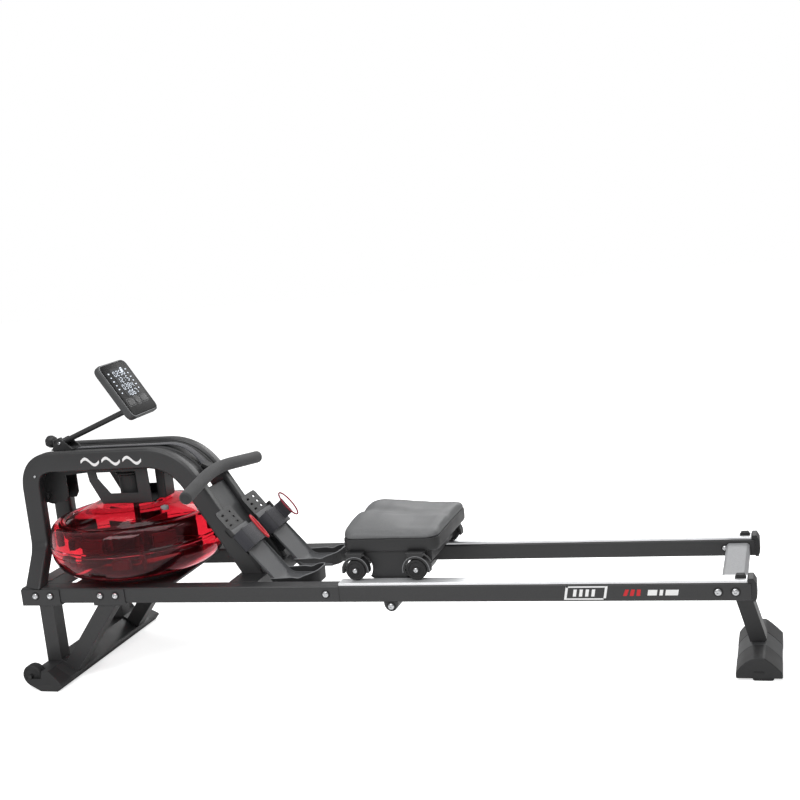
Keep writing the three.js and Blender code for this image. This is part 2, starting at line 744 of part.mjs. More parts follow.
// ---- console ------------------------------------------------------------------------------------
function buildConsole() {
  const { x, z, eye, halfWidth } = pivot;
  const base = cover.topZ + GAP;
  const wall = 4;
  const cheek = shapeOf([
    [x - 30, base],
    [x + 42, base],
    [x + 10, z + 8],
    [x + 2, z + 13],
    [x - 8, z + 10],
  ]);
  const inner = halfWidth + GAP;
  const cheeks = [-1, 1].map((s) => prismY(cheek, ...span(s * inner, s * (inner + wall))));
  const foot = block(x - 30, x + 42, -inner - wall, inner + wall, base, base + wall);
  const web = block(x - 24, x - 19, -inner - 1, inner + 1, base, z + 9);
  const bore = new THREE.CylinderGeometry(5 + RUN, 5 + RUN, 20, 16);
  bore.rotateZ(Math.PI / 2).translate(x - 20, 0, z + 2);
  add("console_bracket", cut(join(foot, ...cheeks, web), bore), "frame");

  const ball = turned(
    [
      [0, -16],
      [9, -14.5],
      [16, -7],
      [17.5, 0],
      [16, 7],
      [10, 14],
      [5, 15],
      [5, 27],
      [0, 27],
    ],
    20,
  );
  const knob = add("clamp_knob", ball, "plastic");
  knob.position.set(x - 42, 0, z + 2);
  knob.rotation.y = 90 * DEG;

  const rise = Math.atan2(tiltPivot.z - z, tiltPivot.x - x);
  const armLength = Math.hypot(tiltPivot.z - z, tiltPivot.x - x);
  const tube = new THREE.CylinderGeometry(armRadius, armRadius, armLength, 16).rotateZ(Math.PI / 2);
  const arm = join(
    tube.translate(armLength / 2, 0, 0),
    rodY(eye, 0, -halfWidth, halfWidth, 0, 24),
    rodY(tiltPivot.eye, armLength, -tiltPivot.halfWidth, tiltPivot.halfWidth, 0, 24),
  );
  const armMesh = add("console_arm", arm, "frame");
  armMesh.position.set(x, 0, z);
  armMesh.rotation.y = -rise;

  // The display head is built face up, its top edge at x = 0, then turned to face the rower.
  const head = new THREE.Group();
  head.position.set(display.x, 0, display.z);
  head.rotation.y = display.tilt * DEG;
  machine.add(head);
  const { length: L, halfWidth: W, depth, corner } = display;
  const back = -depth;
  const outline = roundedRect(L, 2 * W, corner);
  const shellTop = -face.thickness - GAP;
  const body = prismZ(outline, back, shellTop, 5).translate(L / 2, 0, 0);
  const inverse = head.rotation.y;
  const dx = tiltPivot.x - display.x;
  const dz = tiltPivot.z - display.z;
  const earX = dx * Math.cos(inverse) - dz * Math.sin(inverse);
  const earZ = dx * Math.sin(inverse) + dz * Math.cos(inverse);
  const ears = [-1, 1].map((s) => {
    const [y0, y1] = span(s * (tiltPivot.halfWidth + GAP), s * (tiltPivot.halfWidth + GAP + 5));
    const eyeDisc = rodY(tiltPivot.eye, earX, y0, y1, earZ, 20);
    const stem = block(earX - 8, earX + 8, y0, y1, earZ, back + 2);
    return join(eyeDisc, stem);
  });
  const glass = roundedRect(L - 2 * face.margin, 2 * (W - face.margin), corner - face.margin);
  const hole = (shape, y) => prismZ(shape, -10, 10, 5).translate(button.x, y, 0);
  const wing = (grow) => roundedRect(button.wingLength + 2 * grow, button.wingWidth + 2 * grow, 5);
  const pane = prismZ(glass, -face.thickness, 0, 5).translate(L / 2, 0, 0);
  const openings = [
    hole(circle(button.pad + GAP), 0),
    hole(wing(GAP), -button.wingY),
    hole(wing(GAP), button.wingY),
  ];
  const bridge = block(20, button.x - button.pad - 2, -W + 20, W - 20, shellTop - 1, -face.thickness + 0.5);
  add("console_shell", join(body, ...ears, bridge, cut(pane, ...openings)), "gloss", head);
  const low = -face.thickness + button.travel + 0.2;
  const key = (shape, y) => prismZ(shape, low, button.rise, 5).translate(button.x, y, 0);
  add("console_button_center", key(circle(button.pad), 0), "greyPlastic", head);
  for (const [side, s] of SIDES)
    add(`console_button_${side}`, key(wing(0), s * button.wingY), "greyPlastic", head);
}

// ---- footrests ----------------------------------------------------------------------------------
// Built flat: x runs down the sole from the toe, z is away from the sole, then tilted onto the arch.
function buildFootrest(side, s) {
  const group = new THREE.Group();
  group.position.set(footrest.x, s * footrest.y, footrest.z);
  group.rotation.y = footrest.tilt * DEG;
  machine.add(group);
  const W = footrest.halfWidth;
  const t = 4;
  const toe = prismZ(roundedRect(92, 2 * W, 10), -t, 0, 2).translate(46, 0, 0);
  const tail = block(80, 150, -W, W, -t, 0);
  const E = footrest.earHalf;
  const ears = block(footStrap.start - 2, footStrap.start + footStrap.width + 2, -E, E, -t, 0);
  const slots = [];
  for (const row of [-21, 21])
    for (let i = 0; i < 4; i++)
      slots.push(prismZ(roundedRect(6, 16, 3), -10, 10, 1).translate(16 + 17 * i, row, 0));
  // Wedge down to the arch's rear face, in this tilted frame.
  const lean = (90 - arch.tilt - footrest.tilt) * DEG;
  const cosT = Math.cos(footrest.tilt * DEG);
  const sinT = Math.sin(footrest.tilt * DEG);
  const clearOfLeg = (footrest.x - rearLegX(footrest.z)) * -slope.z - arch.depth / 2;
  const depthAt = (x) => (GAP - clearOfLeg) / Math.cos(lean) - x * Math.tan(lean);
  const wedge = prismY(
    shapeOf([
      [14, -t / 2],
      [14, depthAt(14)],
      [190, depthAt(190)],
      [190, -t - 6],
      [150, -t / 2],
    ]),
    -arch.width / 2 + 2,
    arch.width / 2 - 2,
  );
  add(`footrest_base_${side}`, join(cut(join(toe, tail, ears), ...slots), wedge), "plastic", group);

  const H = heel.halfWidth;
  const { start, thickness, rim, cupLength, cupHeight } = heel;
  const dir = { x: cosT, z: sinT };
  const corner = footrest.length;
  const end = { x: corner + cupLength * dir.x, z: cupLength * dir.z };
  const soleProfile = shapeOf([
    [start, GAP],
    [corner, GAP],
    [end.x, end.z + GAP],
    [end.x - thickness * dir.z, end.z + thickness * dir.x],
    [corner - 12, thickness + 4],
    [corner - 24, thickness],
    [start, thickness],
  ]);
  const rimProfile = shapeOf([
    [start + 92, GAP],
    [corner, GAP],
    [end.x, end.z + GAP],
    [end.x - cupHeight * dir.z, end.z + cupHeight * dir.x],
    [end.x - cupHeight * dir.z - 40 * dir.x, end.z + cupHeight * dir.x - 40 * dir.z],
    [corner - 30, 2 * rim],
    [start + 104, rim],
  ]);
  const sole = prismY(soleProfile, -H, H);
  const rims = [-1, 1].map((k) => prismY(rimProfile, ...span(k * H, k * (H - 3))));
  const back = prismY(
    shapeOf([
      [end.x - 3 * dir.x, end.z - 3 * dir.z + GAP],
      [end.x, end.z + GAP],
      [end.x - cupHeight * dir.z, end.z + cupHeight * dir.x],
      [end.x - cupHeight * dir.z - 3 * dir.x, end.z + cupHeight * dir.x - 3 * dir.z],
    ]),
    -H,
    H,
  );
  add(`heel_plate_${side}`, join(sole, ...rims, back), "greyPlastic", group);

  // Strap: a low arch whose ends stand on the base's ears.
  const band = new THREE.Shape();
  const half = footrest.earHalf - 1;
  const h = footStrap.height;
  band.moveTo(-half, GAP);
  band.lineTo(-half + footStrap.thickness, GAP);
  band.lineTo(-half + footStrap.thickness, h * 0.5);
  band.quadraticCurveTo(-half * 0.8, h - footStrap.thickness, 0, h - footStrap.thickness);
  band.quadraticCurveTo(half * 0.8, h - footStrap.thickness, half - footStrap.thickness, h * 0.5);
  band.lineTo(half - footStrap.thickness, GAP);
  band.lineTo(half, GAP);
  band.lineTo(half, h * 0.5);
  band.quadraticCurveTo(half * 0.85, h, 0, h);
  band.quadraticCurveTo(-half * 0.85, h, -half, h * 0.5);
  const strapBody = prismX(band, footStrap.start, footStrap.start + footStrap.width, 5);
  add(`foot_strap_${side}`, strapBody, "webbing", group);
}

// ---- seat ---------------------------------------------------------------------------------------
function buildSeat() {
  const { front, rear, halfWidth: W, trayZ, trayHeight } = seat;
  const length = rear - front;
  const tray = prismZ(roundedRect(length, 2 * W, 30), trayZ, trayZ + trayHeight, 4);
  tray.translate((front + rear) / 2, 0, 0);
  const guideY = rail.inner - 3;
  const skirt = (s) =>
    prismY(
      shapeOf([
        [984, trayZ + 5],
        [998, rail.top - 2],
        [1084, rail.top - 2],
        [1098, trayZ + 5],
      ]),
      ...span(s * guideY, s * (guideY - 8)),
    );
  const beam = (x) => block(x - 13, x + 13, -guideY, guideY, wheel.z - 11, trayZ + 5);
  const axleEnd = wheel.y + wheel.width / 2 + 3;
  const axle = (x) => rodY(wheel.axle, x, -axleEnd, axleEnd, wheel.z, 16);
  const axleX = [wheel.frontX, wheel.rearX];
  const carriage = join(tray, skirt(-1), skirt(1), ...axleX.map(beam), ...axleX.map(axle));
  add("seat_carriage", carriage, "plastic");

  const z0 = trayZ + trayHeight + GAP;
  const half = W + 6;
  const top = z0 + seat.cushion;
  const saddle = new THREE.Shape();
  saddle.moveTo(-half + 8, z0);
  saddle.lineTo(half - 8, z0);
  saddle.lineTo(half, z0 + 12);
  saddle.quadraticCurveTo(half, top - 6, half - 34, top - 3);
  saddle.quadraticCurveTo(half / 3, top - 2, 0, top - 14);
  saddle.quadraticCurveTo(-half / 3, top - 2, -half + 34, top - 3);
  saddle.quadraticCurveTo(-half, top - 6, -half, z0 + 12);
  add("seat_cushion", prismX(saddle, front - 4, rear + 4, 5), "cushion");

  const w = wheel.width / 2;
  for (const [side, s] of SIDES)
    for (const [end, x] of [
      ["front", wheel.frontX],
      ["rear", wheel.rearX],
    ]) {
      const tyre = turned(
        [
          [wheel.axle + RUN, -w],
          [wheel.radius - 2, -w],
          [wheel.radius, -w + 3],
          [wheel.radius, w - 3],
          [wheel.radius - 2, w],
          [wheel.axle + RUN, w],
        ],
        24,
      );
      tyre.rotateX(Math.PI / 2).translate(x, s * wheel.y, wheel.z);
      add(`seat_wheel_${end}_${side}`, tyre, "rubber");
    }
}

buildRails();
buildCrossMembers();
buildLegsAndFeet();
buildArches();
buildTankBracket();
buildPulleys();
buildStrap();
buildHandle();
buildTank();
buildConsole();
for (const [side, s] of SIDES) buildFootrest(side, s);
buildSeat();

// The machine reaches from the front of the arches to the rear edge of the rear foot.
const frontMost = arch.legX - arch.depth / 2;
const rearMost = rearFoot.x + rearFoot.width / 2 + rearFoot.capGrow;
machine.position.x = -(frontMost + rearMost) / 2;

export default machine;
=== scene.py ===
"""Looks of a water-resistance rowing machine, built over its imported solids.

Every length is in metres. Positions are written with `at`, in millimetres from the datum that the
solids use: +X to the rear, +Y to the right-hand side, +Z up.
"""

import logging
import math
from dataclasses import dataclass
from enum import Enum
from typing import Callable, Dict, List, Optional, Sequence, Tuple

import bmesh
import bpy
from mathutils import Matrix, Vector


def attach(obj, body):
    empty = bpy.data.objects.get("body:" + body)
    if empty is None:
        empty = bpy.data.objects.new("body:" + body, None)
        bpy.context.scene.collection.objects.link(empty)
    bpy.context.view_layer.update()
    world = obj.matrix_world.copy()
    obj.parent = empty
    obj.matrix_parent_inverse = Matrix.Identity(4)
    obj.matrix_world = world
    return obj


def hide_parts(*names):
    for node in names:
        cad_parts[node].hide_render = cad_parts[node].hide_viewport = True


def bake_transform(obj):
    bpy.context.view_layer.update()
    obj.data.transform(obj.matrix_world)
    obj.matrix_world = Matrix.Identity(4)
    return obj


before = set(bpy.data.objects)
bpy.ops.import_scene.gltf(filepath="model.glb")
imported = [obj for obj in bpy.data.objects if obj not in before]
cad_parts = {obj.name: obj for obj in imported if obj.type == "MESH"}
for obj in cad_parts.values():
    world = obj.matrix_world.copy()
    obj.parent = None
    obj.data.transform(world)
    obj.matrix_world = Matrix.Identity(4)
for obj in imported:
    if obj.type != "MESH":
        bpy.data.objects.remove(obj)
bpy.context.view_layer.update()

MM = 0.001
DATUM = -0.9749
LOG = logging.getLogger("rower")
Outline = List[Tuple[float, float]]
Node, Socket, Tree = bpy.types.Node, bpy.types.NodeSocket, bpy.types.NodeTree
SIDES = (("left", -1), ("right", 1))
REAR, RIGHT = Vector((1, 0, 0)), Vector((0, 1, 0))


def at(x: float, y: float, z: float) -> Vector:
    """Point from millimetres.

    Args:
        x: Distance behind the datum.
        y: Distance to the right of the middle.
        z: Height above the floor.

    Returns:
        The point in metres.
    """
    return Vector((x * MM + DATUM, y * MM, z * MM))


def srgb(red: int, green: int, blue: int) -> Tuple[float, float, float, float]:
    """Linear colour from display values.

    Args:
        red: Red, 0 to 255.
        green: Green, 0 to 255.
        blue: Blue, 0 to 255.

    Returns:
        Linear red, green, blue and an alpha of 1.
    """

    def linear(value: int) -> float:
        """Linear value of one channel.

        Args:
            value: 0 to 255.

        Returns:
            0 to 1.
        """
        c = value / 255
        return c / 12.92 if c <= 0.04045 else ((c + 0.055) / 1.055) ** 2.4

    return (linear(red), linear(green), linear(blue), 1.0)


# ---- materials ------------------------------------------------------------------------------------


class Surface(Enum):
    """What a finish is made of, which sets its fine structure."""

    POWDER = "powder coat"
    BRUSHED = "brushed metal"
    MOULDED = "moulded plastic"
    FOAM = "closed-cell foam"
    WEAVE = "woven band"
    CLEAR = "clear plastic"
    PRINT = "printed ink"
    LIT = "display segment"


@dataclass(frozen=True)
class Finish:
    """One surface finish.

    Args:
        name: Name of the material.
        surface: What it is made of.
        colour: Linear colour.
        roughness: Mean roughness.
        grain: Size of the fine structure in metres.
        relief: Depth of the fine structure in metres.
        metallic: How metallic it is.
        coat: Weight of a clear coat.
        edge: Radius of the softened edges in metres, 0 for none.
        specular: Strength of the plain reflection.
    """

    name: str
    surface: Surface
    colour: Tuple[float, float, float, float]
    roughness: float
    grain: float = 0.0006
    relief: float = 0.00004
    metallic: float = 0.0
    coat: float = 0.0
    edge: float = 0.0015
    specular: float = 0.5


PAINT = Finish("frame_paint", Surface.POWDER, srgb(48, 48, 49), 0.46, 0.0011, 0.00005, 0.0, 0.08, 0.0022)
PALE = Finish("pale_grey_paint", Surface.POWDER, srgb(142, 143, 145), 0.5, 0.0011, 0.00004)
TRACK = Finish("track_aluminium", Surface.BRUSHED, srgb(236, 237, 239), 0.34, 0.0007, 0.00002, 0.6)
STEEL = Finish("bright_steel", Surface.BRUSHED, srgb(205, 206, 208), 0.25, 0.0004, 0.00001, 0.95, 0.0, 0.0004)
BLACK = Finish("black_plastic", Surface.MOULDED, srgb(38, 38, 39), 0.5, 0.0009, 0.00006)
DARK = Finish("shadow_plastic", Surface.MOULDED, srgb(20, 20, 21), 0.55, 0.0009, 0.00005)
GREY = Finish("grey_plastic", Surface.MOULDED, srgb(66, 67, 68), 0.5, 0.0008, 0.00006)
RUBBER = Finish("rubber", Surface.MOULDED, srgb(33, 33, 34), 0.72, 0.0012, 0.0001)
FOAM = Finish("grip_foam", Surface.FOAM, srgb(58, 58, 59), 0.85, 0.0014, 0.00022)
RED = Finish("tank_red", Surface.CLEAR, (0.74, 0.12, 0.165, 1.0), 0.02, 0.012, 0.00005, 0.0, 0.0, 0.0)
SOLE = Finish("sole_plastic", Surface.MOULDED, srgb(82, 83, 85), 0.5, 0.0008, 0.00006)
# Light grey for the thin strips along the heel cups' rims and the seat guards' outer edges: painted
# highlight.
HIGHLIGHT_BEAD = Finish("painted_highlight_rim", Surface.MOULDED, srgb(120, 121, 123), 0.5, 0.0008, 0.00003, 0.0, 0.0, 0.0)
PADDLE = Finish("paddle_plastic", Surface.MOULDED, srgb(50, 34, 36), 0.4, 0.0009, 0.00005)
WEB = Finish("webbing", Surface.WEAVE, srgb(46, 46, 52), 0.8, 0.0016, 0.0003, 0.0, 0.0, 0.0)
LOOP = Finish("loop_red", Surface.MOULDED, srgb(200, 46, 56), 0.4, 0.0006, 0.00003, 0.0, 0.2, 0.0)
# Darker copy of the loop red, for the standing loop: painted shade.
LOOP_SHADED = Finish("loop_red_shaded", Surface.MOULDED, srgb(140, 30, 50), 0.4, 0.0006, 0.00003, 0.0, 0.2, 0.0)
FACE = Finish("console_face", Surface.MOULDED, srgb(9, 9, 10), 0.42, 0.003, 0.00001, 0.0, 0.0, 0.0, 0.12)
SCREEN = Finish("screen", Surface.MOULDED, srgb(26, 29, 33), 0.4, 0.002, 0.000005, 0.0, 0.0, 0.0, 0.12)
PAD = Finish("seat_pad", Surface.MOULDED, srgb(97, 98, 99), 0.5, 0.0012, 0.0001, 0.0, 0.0, 0.0)
INK = Finish("white_ink", Surface.PRINT, srgb(238, 238, 238), 0.4, 0.0008, 0.00001, 0.0, 0.0, 0.0)
INK_RED = Finish("red_ink", Surface.PRINT, srgb(200, 24, 34), 0.4, 0.0008, 0.00001, 0.0, 0.0, 0.0)
SEGMENT = Finish("segment", Surface.LIT, srgb(200, 208, 218), 0.4, 0.0008, 0.0, 0.0, 0.0, 0.0)


class Paintshop:
    """Makes one procedural material for each finish and hands it out again when asked."""

    def __init__(self) -> None:
        """Starts with no materials."""
        self._made: Dict[str, bpy.types.Material] = {}

    def get(self, finish: Finish) -> bpy.types.Material:
        """Material for a finish.

        Args:
            finish: The finish.

        Returns:
            Its material, made once.
        """
        if finish.name not in self._made:
            self._made[finish.name] = self._make(finish)
        return self._made[finish.name]

    def _make(self, finish: Finish) -> bpy.types.Material:
        """New material for a finish.

        Args:
            finish: The finish.

        Returns:
            The material.
        """
        material = bpy.data.materials.new(finish.name)
        material.use_nodes = True
        tree = material.node_tree
        shader = tree.nodes["Principled BSDF"]
        shader.inputs["Metallic"].default_value = finish.metallic
        shader.inputs["Coat Weight"].default_value = finish.coat
        shader.inputs["Coat Roughness"].default_value = 0.18
        shader.inputs["Specular IOR Level"].default_value = finish.specular
        place = tree.nodes.new("ShaderNodeTexCoord").outputs["Object"]
        self._tone(tree, shader, finish, place)
        self._relief(tree, shader, finish, place)
        if finish.surface is Surface.CLEAR:
            shader.inputs["Transmission Weight"].default_value = 1.0
            shader.inputs["IOR"].default_value = 1.33
        if finish.surface is Surface.LIT:
            shader.inputs["Emission Color"].default_value = finish.colour
            shader.inputs["Emission Strength"].default_value = 0.55
        if finish.surface is Surface.FOAM:
            shader.inputs["Sheen Weight"].default_value = 0.15
        if finish.surface is Surface.WEAVE:
            shader.inputs["Sheen Weight"].default_value = 0.3
        return material

    def _noise(self, tree: Tree, place: Socket, size: float, detail: float = 3.0) -> Socket:
        """Noise of a given size.

        Args:
            tree: Node tree of the material.
            place: Texture coordinates.
            size: Size of the noise in metres.
            detail: Number of finer layers.

        Returns:
            The noise, 0 to 1.
        """
        noise = tree.nodes.new("ShaderNodeTexNoise")
        noise.inputs["Scale"].default_value = 1.0 / size
        noise.inputs["Detail"].default_value = detail
        tree.links.new(place, noise.inputs["Vector"])
        return noise.outputs["Fac"]

    def _span(self, tree: Tree, value: Socket, low: float, high: float) -> Socket:
        """Spreads the middle of a noise over a range.

        Args:
            tree: Node tree of the material.
            value: The noise.
            low: Lowest result.
            high: Highest result.

        Returns:
            The spread value.
        """
        span = tree.nodes.new("ShaderNodeMapRange")
        span.inputs["From Min"].default_value = 0.3
        span.inputs["From Max"].default_value = 0.7
        span.inputs["To Min"].default_value = low
        span.inputs["To Max"].default_value = high
        tree.links.new(value, span.inputs["Value"])
        return span.outputs["Result"]

    def _tone(self, tree: Tree, shader: Node, finish: Finish, place: Socket) -> None:
        """Uneven colour and roughness: broad clouds for handling, fine specks for the grain.

        Args:
            tree: Node tree of the material.
            shader: Shader that gets them.
            finish: The finish.
            place: Texture coordinates.
        """
        clouds = self._noise(tree, place, 0.09, 4.0)
        specks = self._noise(tree, place, finish.grain * 2.5, 2.0)
        mix = tree.nodes.new("ShaderNodeMix")
        mix.data_type = "RGBA"
        swing = 0.05 if finish.surface in (Surface.CLEAR, Surface.PRINT, Surface.LIT) else 0.16
        mix.inputs["A"].default_value = tuple(c * (1 - swing) for c in finish.colour[:3]) + (1.0,)
        mix.inputs["B"].default_value = tuple(min(c * (1 + swing), 1) for c in finish.colour[:3]) + (1.0,)
        both = tree.nodes.new("ShaderNodeMath")
        both.operation = "MULTIPLY_ADD"
        both.inputs[1].default_value = 0.5
        tree.links.new(specks, both.inputs[0])
        half = tree.nodes.new("ShaderNodeMath")
        half.operation = "MULTIPLY"
        half.inputs[1].default_value = 0.5
        tree.links.new(clouds, half.inputs[0])
        tree.links.new(half.outputs[0], both.inputs[2])
        tree.links.new(self._span(tree, both.outputs[0], 0.0, 1.0), mix.inputs["Factor"])
        tree.links.new(mix.outputs["Result"], shader.inputs["Base Color"])
        low, high = finish.roughness * 0.88, min(finish.roughness * 1.14, 1.0)
        tree.links.new(self._span(tree, clouds, low, high), shader.inputs["Roughness"])

    def _relief(self, tree: Tree, shader: Node, finish: Finish, place: Socket) -> None:
        """Fine relief over softened edges.

        Args:
            tree: Node tree of the material.
            shader: Shader that gets it.
            finish: The finish.
            place: Texture coordinates.
        """
        if finish.surface is Surface.WEAVE:
            height = self._weave(tree, place, finish.grain)
        elif finish.surface is Surface.BRUSHED:
            stretch = tree.nodes.new("ShaderNodeMapping")
            stretch.inputs["Scale"].default_value = (0.02, 1.0, 1.0)
            tree.links.new(place, stretch.inputs["Vector"])
            height = self._noise(tree, stretch.outputs["Vector"], finish.grain, 2.0)
        elif finish.surface is Surface.FOAM:
            cells = tree.nodes.new("ShaderNodeTexVoronoi")
            cells.inputs["Scale"].default_value = 1.0 / finish.grain
            tree.links.new(place, cells.inputs["Vector"])
            height = cells.outputs["Distance"]
        else:
            height = self._noise(tree, place, finish.grain, 2.0)
        bump = tree.nodes.new("ShaderNodeBump")
        bump.inputs["Strength"].default_value = 0.6
        bump.inputs["Distance"].default_value = max(finish.relief, 1e-6)
        tree.links.new(height, bump.inputs["Height"])
        if finish.edge > 0:
            soft = tree.nodes.new("ShaderNodeBevel")
            soft.samples = 4
            soft.inputs["Radius"].default_value = finish.edge
            tree.links.new(soft.outputs["Normal"], bump.inputs["Normal"])
        tree.links.new(bump.outputs["Normal"], shader.inputs["Normal"])

    def _weave(self, tree: Tree, place: Socket, size: float) -> Socket:
        """Crossed ribs of a woven band.

        Args:
            tree: Node tree of the material.
            place: Texture coordinates.
            size: Width of a rib in metres.

        Returns:
            Height of the ribs.
        """
        outputs = []
        for axis in ("X", "Y"):
            wave = tree.nodes.new("ShaderNodeTexWave")
            wave.bands_direction = axis
            wave.inputs["Scale"].default_value = 0.3 / size
            wave.inputs["Distortion"].default_value = 0.4
            tree.links.new(place, wave.inputs["Vector"])
            outputs.append(wave.outputs["Fac"])
        top = tree.nodes.new("ShaderNodeMath")
        top.operation = "MAXIMUM"
        tree.links.new(outputs[0], top.inputs[0])
        tree.links.new(outputs[1], top.inputs[1])
        return top.outputs[0]


SHOP = Paintshop()


# ---- mesh building --------------------------------------------------------------------------------


class Forge:
    """Builds meshes and hangs them on the machine's bodies."""

    @staticmethod
    def mesh(name: str, points: Sequence[Vector], faces: Sequence[Sequence[int]]) -> bpy.types.Object:
        """Object from points and faces.

        Args:
            name: Name of the piece.
            points: Vertices in metres.
            faces: Vertex indices of each face.

        Returns:
            The new object, with its normals outwards.
        """
        data = bpy.data.meshes.new(name)
        data.from_pydata([tuple(p) for p in points], [], [tuple(f) for f in faces])
        shape = bmesh.new()
        shape.from_mesh(data)
        bmesh.ops.remove_doubles(shape, verts=shape.verts, dist=1e-6)
        bmesh.ops.recalc_face_normals(shape, faces=shape.faces)
        shape.to_mesh(data)
        shape.free()
        piece = bpy.data.objects.new(name, data)
        bpy.context.scene.collection.objects.link(piece)
        return piece

    @staticmethod
    def smooth(piece: bpy.types.Object, angle: float = 32.0) -> None:
        """Smooth shading that keeps edges sharper than an angle.

        Args:
            piece: The piece.
            angle: Limit in degrees.
        """
        shape = bmesh.new()
        shape.from_mesh(piece.data)
        for face in shape.faces:
            face.smooth = True
        for edge in shape.edges:
            edge.smooth = not edge.is_manifold or edge.calc_face_angle(0.0) < math.radians(angle)
        shape.to_mesh(piece.data)
        shape.free()

    @staticmethod
    def round_edges(piece: bpy.types.Object, width: float, segments: int = 3) -> None:
        """Rounds the sharp edges.

        Args:
            piece: The piece.
            width: Width of the rounding in metres.
            segments: Number of steps across it.
        """
        bevel = piece.modifiers.new("rounding", "BEVEL")
        bevel.width = width
        bevel.segments = segments
        bevel.limit_method = "ANGLE"
        bevel.angle_limit = math.radians(28)
        bevel.harden_normals = True

    @staticmethod
    def hang(
        piece: bpy.types.Object,
        finish: Finish,
        body: str,
        slot: str,
        stands_for: Sequence[str] = (),
    ) -> bpy.types.Object:
        """Gives a piece its material and its body.

        Args:
            piece: The piece, in place.
            finish: Its finish.
            body: The body it moves with.
            slot: The record's material slot; not used.
            stands_for: Solids that it replaces.

        Returns:
            The piece.
        """
        piece.data.materials.append(SHOP.get(finish))
        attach(piece, body)
        if stands_for:
            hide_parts(*stands_for)
        return piece

    @staticmethod
    def fit(
        piece: bpy.types.Object,
        finish: Finish,
        body: str,
        slot: str,
        stands_for: Sequence[str] = (),
        angle: float = 32.0,
        rounding: float = 0.0,
        steps: int = 3,
    ) -> None:
        """Smooths a piece, rounds its edges and hangs it on its body.

        Args:
            piece: The piece, in place.
            finish: Its finish.
            body: The body it moves with.
            slot: The record's material slot.
            stands_for: Solids that it replaces.
            angle: Edges sharper than this many degrees stay sharp.
            rounding: Width of the rounded edges in metres, 0 for none.
            steps: Number of steps across a rounded edge.
        """
        Forge.smooth(piece, angle)
        if rounding:
            Forge.round_edges(piece, rounding, steps)
        Forge.hang(piece, finish, body, slot, stands_for)

    @staticmethod
    def loft(name: str, rings: Sequence[Sequence[Vector]], closed: bool = False) -> bpy.types.Object:
        """Skin over rings of points, with flat ends unless it closes on itself.

        Args:
            name: Name of the piece.
            rings: Rings with the same number of points.
            closed: Whether the last ring joins the first.

        Returns:
            The piece.
        """
        count = len(rings[0])
        points = [p for ring in rings for p in ring]
        faces = []
        last = len(rings) if closed else len(rings) - 1
        for i in range(last):
            j = (i + 1) % len(rings)
            for k in range(count):
                m = (k + 1) % count
                faces.append((i * count + k, i * count + m, j * count + m, j * count + k))
        if not closed:
            faces.append(tuple(range(count)))
            faces.append(tuple((len(rings) - 1) * count + k for k in range(count)))
        return Forge.mesh(name, points, faces)

    @staticmethod
    def sweep(
        name: str,
        section: Outline,
        path: Sequence[Vector],
        level: Vector,
        closed: bool = False,
        scales: Optional[Sequence[float]] = None,
    ) -> bpy.types.Object:
        """Section carried along a path.

        Args:
            name: Name of the piece.
            section: Section in millimetres: first value along `level`, second across it.
            path: Points of the path in metres.
            level: Direction that the section's first value keeps to.
            closed: Whether the path is a loop.
            scales: Size of the section at each point of the path.

        Returns:
            The piece.
        """
        rings = []
        for i, point in enumerate(path):
            size = MM * (scales[i] if scales else 1.0)
            before = path[i - 1] if i > 0 or closed else path[0]
            after = path[(i + 1) % len(path)] if i < len(path) - 1 or closed else path[-1]
            tangent = (after - before).normalized()
            side = (level - tangent * tangent.dot(level)).normalized()
            across = tangent.cross(side)
            rings.append([point + side * a * size + across * b * size for a, b in section])
        return Forge.loft(name, rings, closed)

    @staticmethod
    def lathe(
        name: str,
        profile: Outline,
        centre: Vector,
        axis: Vector = Vector((0, 0, 1)),
        steps: int = 48,
        shaped: Optional[Callable[[float, float], float]] = None,
        closed: bool = False,
    ) -> bpy.types.Object:
        """Turned piece.

        Args:
            name: Name of the piece.
            profile: Pairs of radius and height along the axis, in millimetres.
            centre: Origin of the profile.
            axis: Direction of the axis.
            steps: Number of steps round.
            shaped: Radius for a profile radius and an angle, for what isn't round.
            closed: Whether the profile is a loop.

        Returns:
            The piece.
        """
        turn = Vector((0, 0, 1)).rotation_difference(axis.normalized()).to_matrix()
        rings = []
        for radius, height in profile:
            ring = []
            for k in range(steps):
                angle = 2 * math.pi * k / steps
                r = shaped(radius, angle) if shaped else radius
                local = Vector((r * math.cos(angle), r * math.sin(angle), height)) * MM
                ring.append(centre + turn @ local)
            rings.append(ring)
        return Forge.loft(name, rings, closed)

    @staticmethod
    def prism(name: str, outline: Outline, low: float, high: float, plane: str = "XZ") -> bpy.types.Object:
        """Flat outline given a thickness.

        Args:
            name: Name of the piece.
            outline: Points of the outline in millimetres.
            low: Where it starts along the plane's normal.
            high: Where it ends.
            plane: "XZ" (thick along Y), "YZ" (along X) or "XY" (along Z).

        Returns:
            The piece.
        """
        spots = {
            "XZ": lambda a, b, h: at(a, h, b),
            "YZ": lambda a, b, h: at(h, a, b),
            "XY": lambda a, b, h: at(a, b, h),
        }
        spot = spots[plane]
        return Forge.loft(name, [[spot(a, b, h) for a, b in outline] for h in (low, high)])


def rounded(width: float, height: float, radius: float, steps: int = 5) -> Outline:
    """Rectangle with round corners about the origin.

    Args:
        width: Width.
        height: Height.
        radius: Radius of the corners.
        steps: Steps in each corner.

    Returns:
        Its outline.
    """
    points = []
    for cx, cy, start in ((1, 1, 0), (-1, 1, 90), (-1, -1, 180), (1, -1, 270)):
        for k in range(steps + 1):
            angle = math.radians(start + 90 * k / steps)
            x = cx * (width / 2 - radius) + radius * math.cos(angle)
            y = cy * (height / 2 - radius) + radius * math.sin(angle)
            points.append((x, y))
    return points


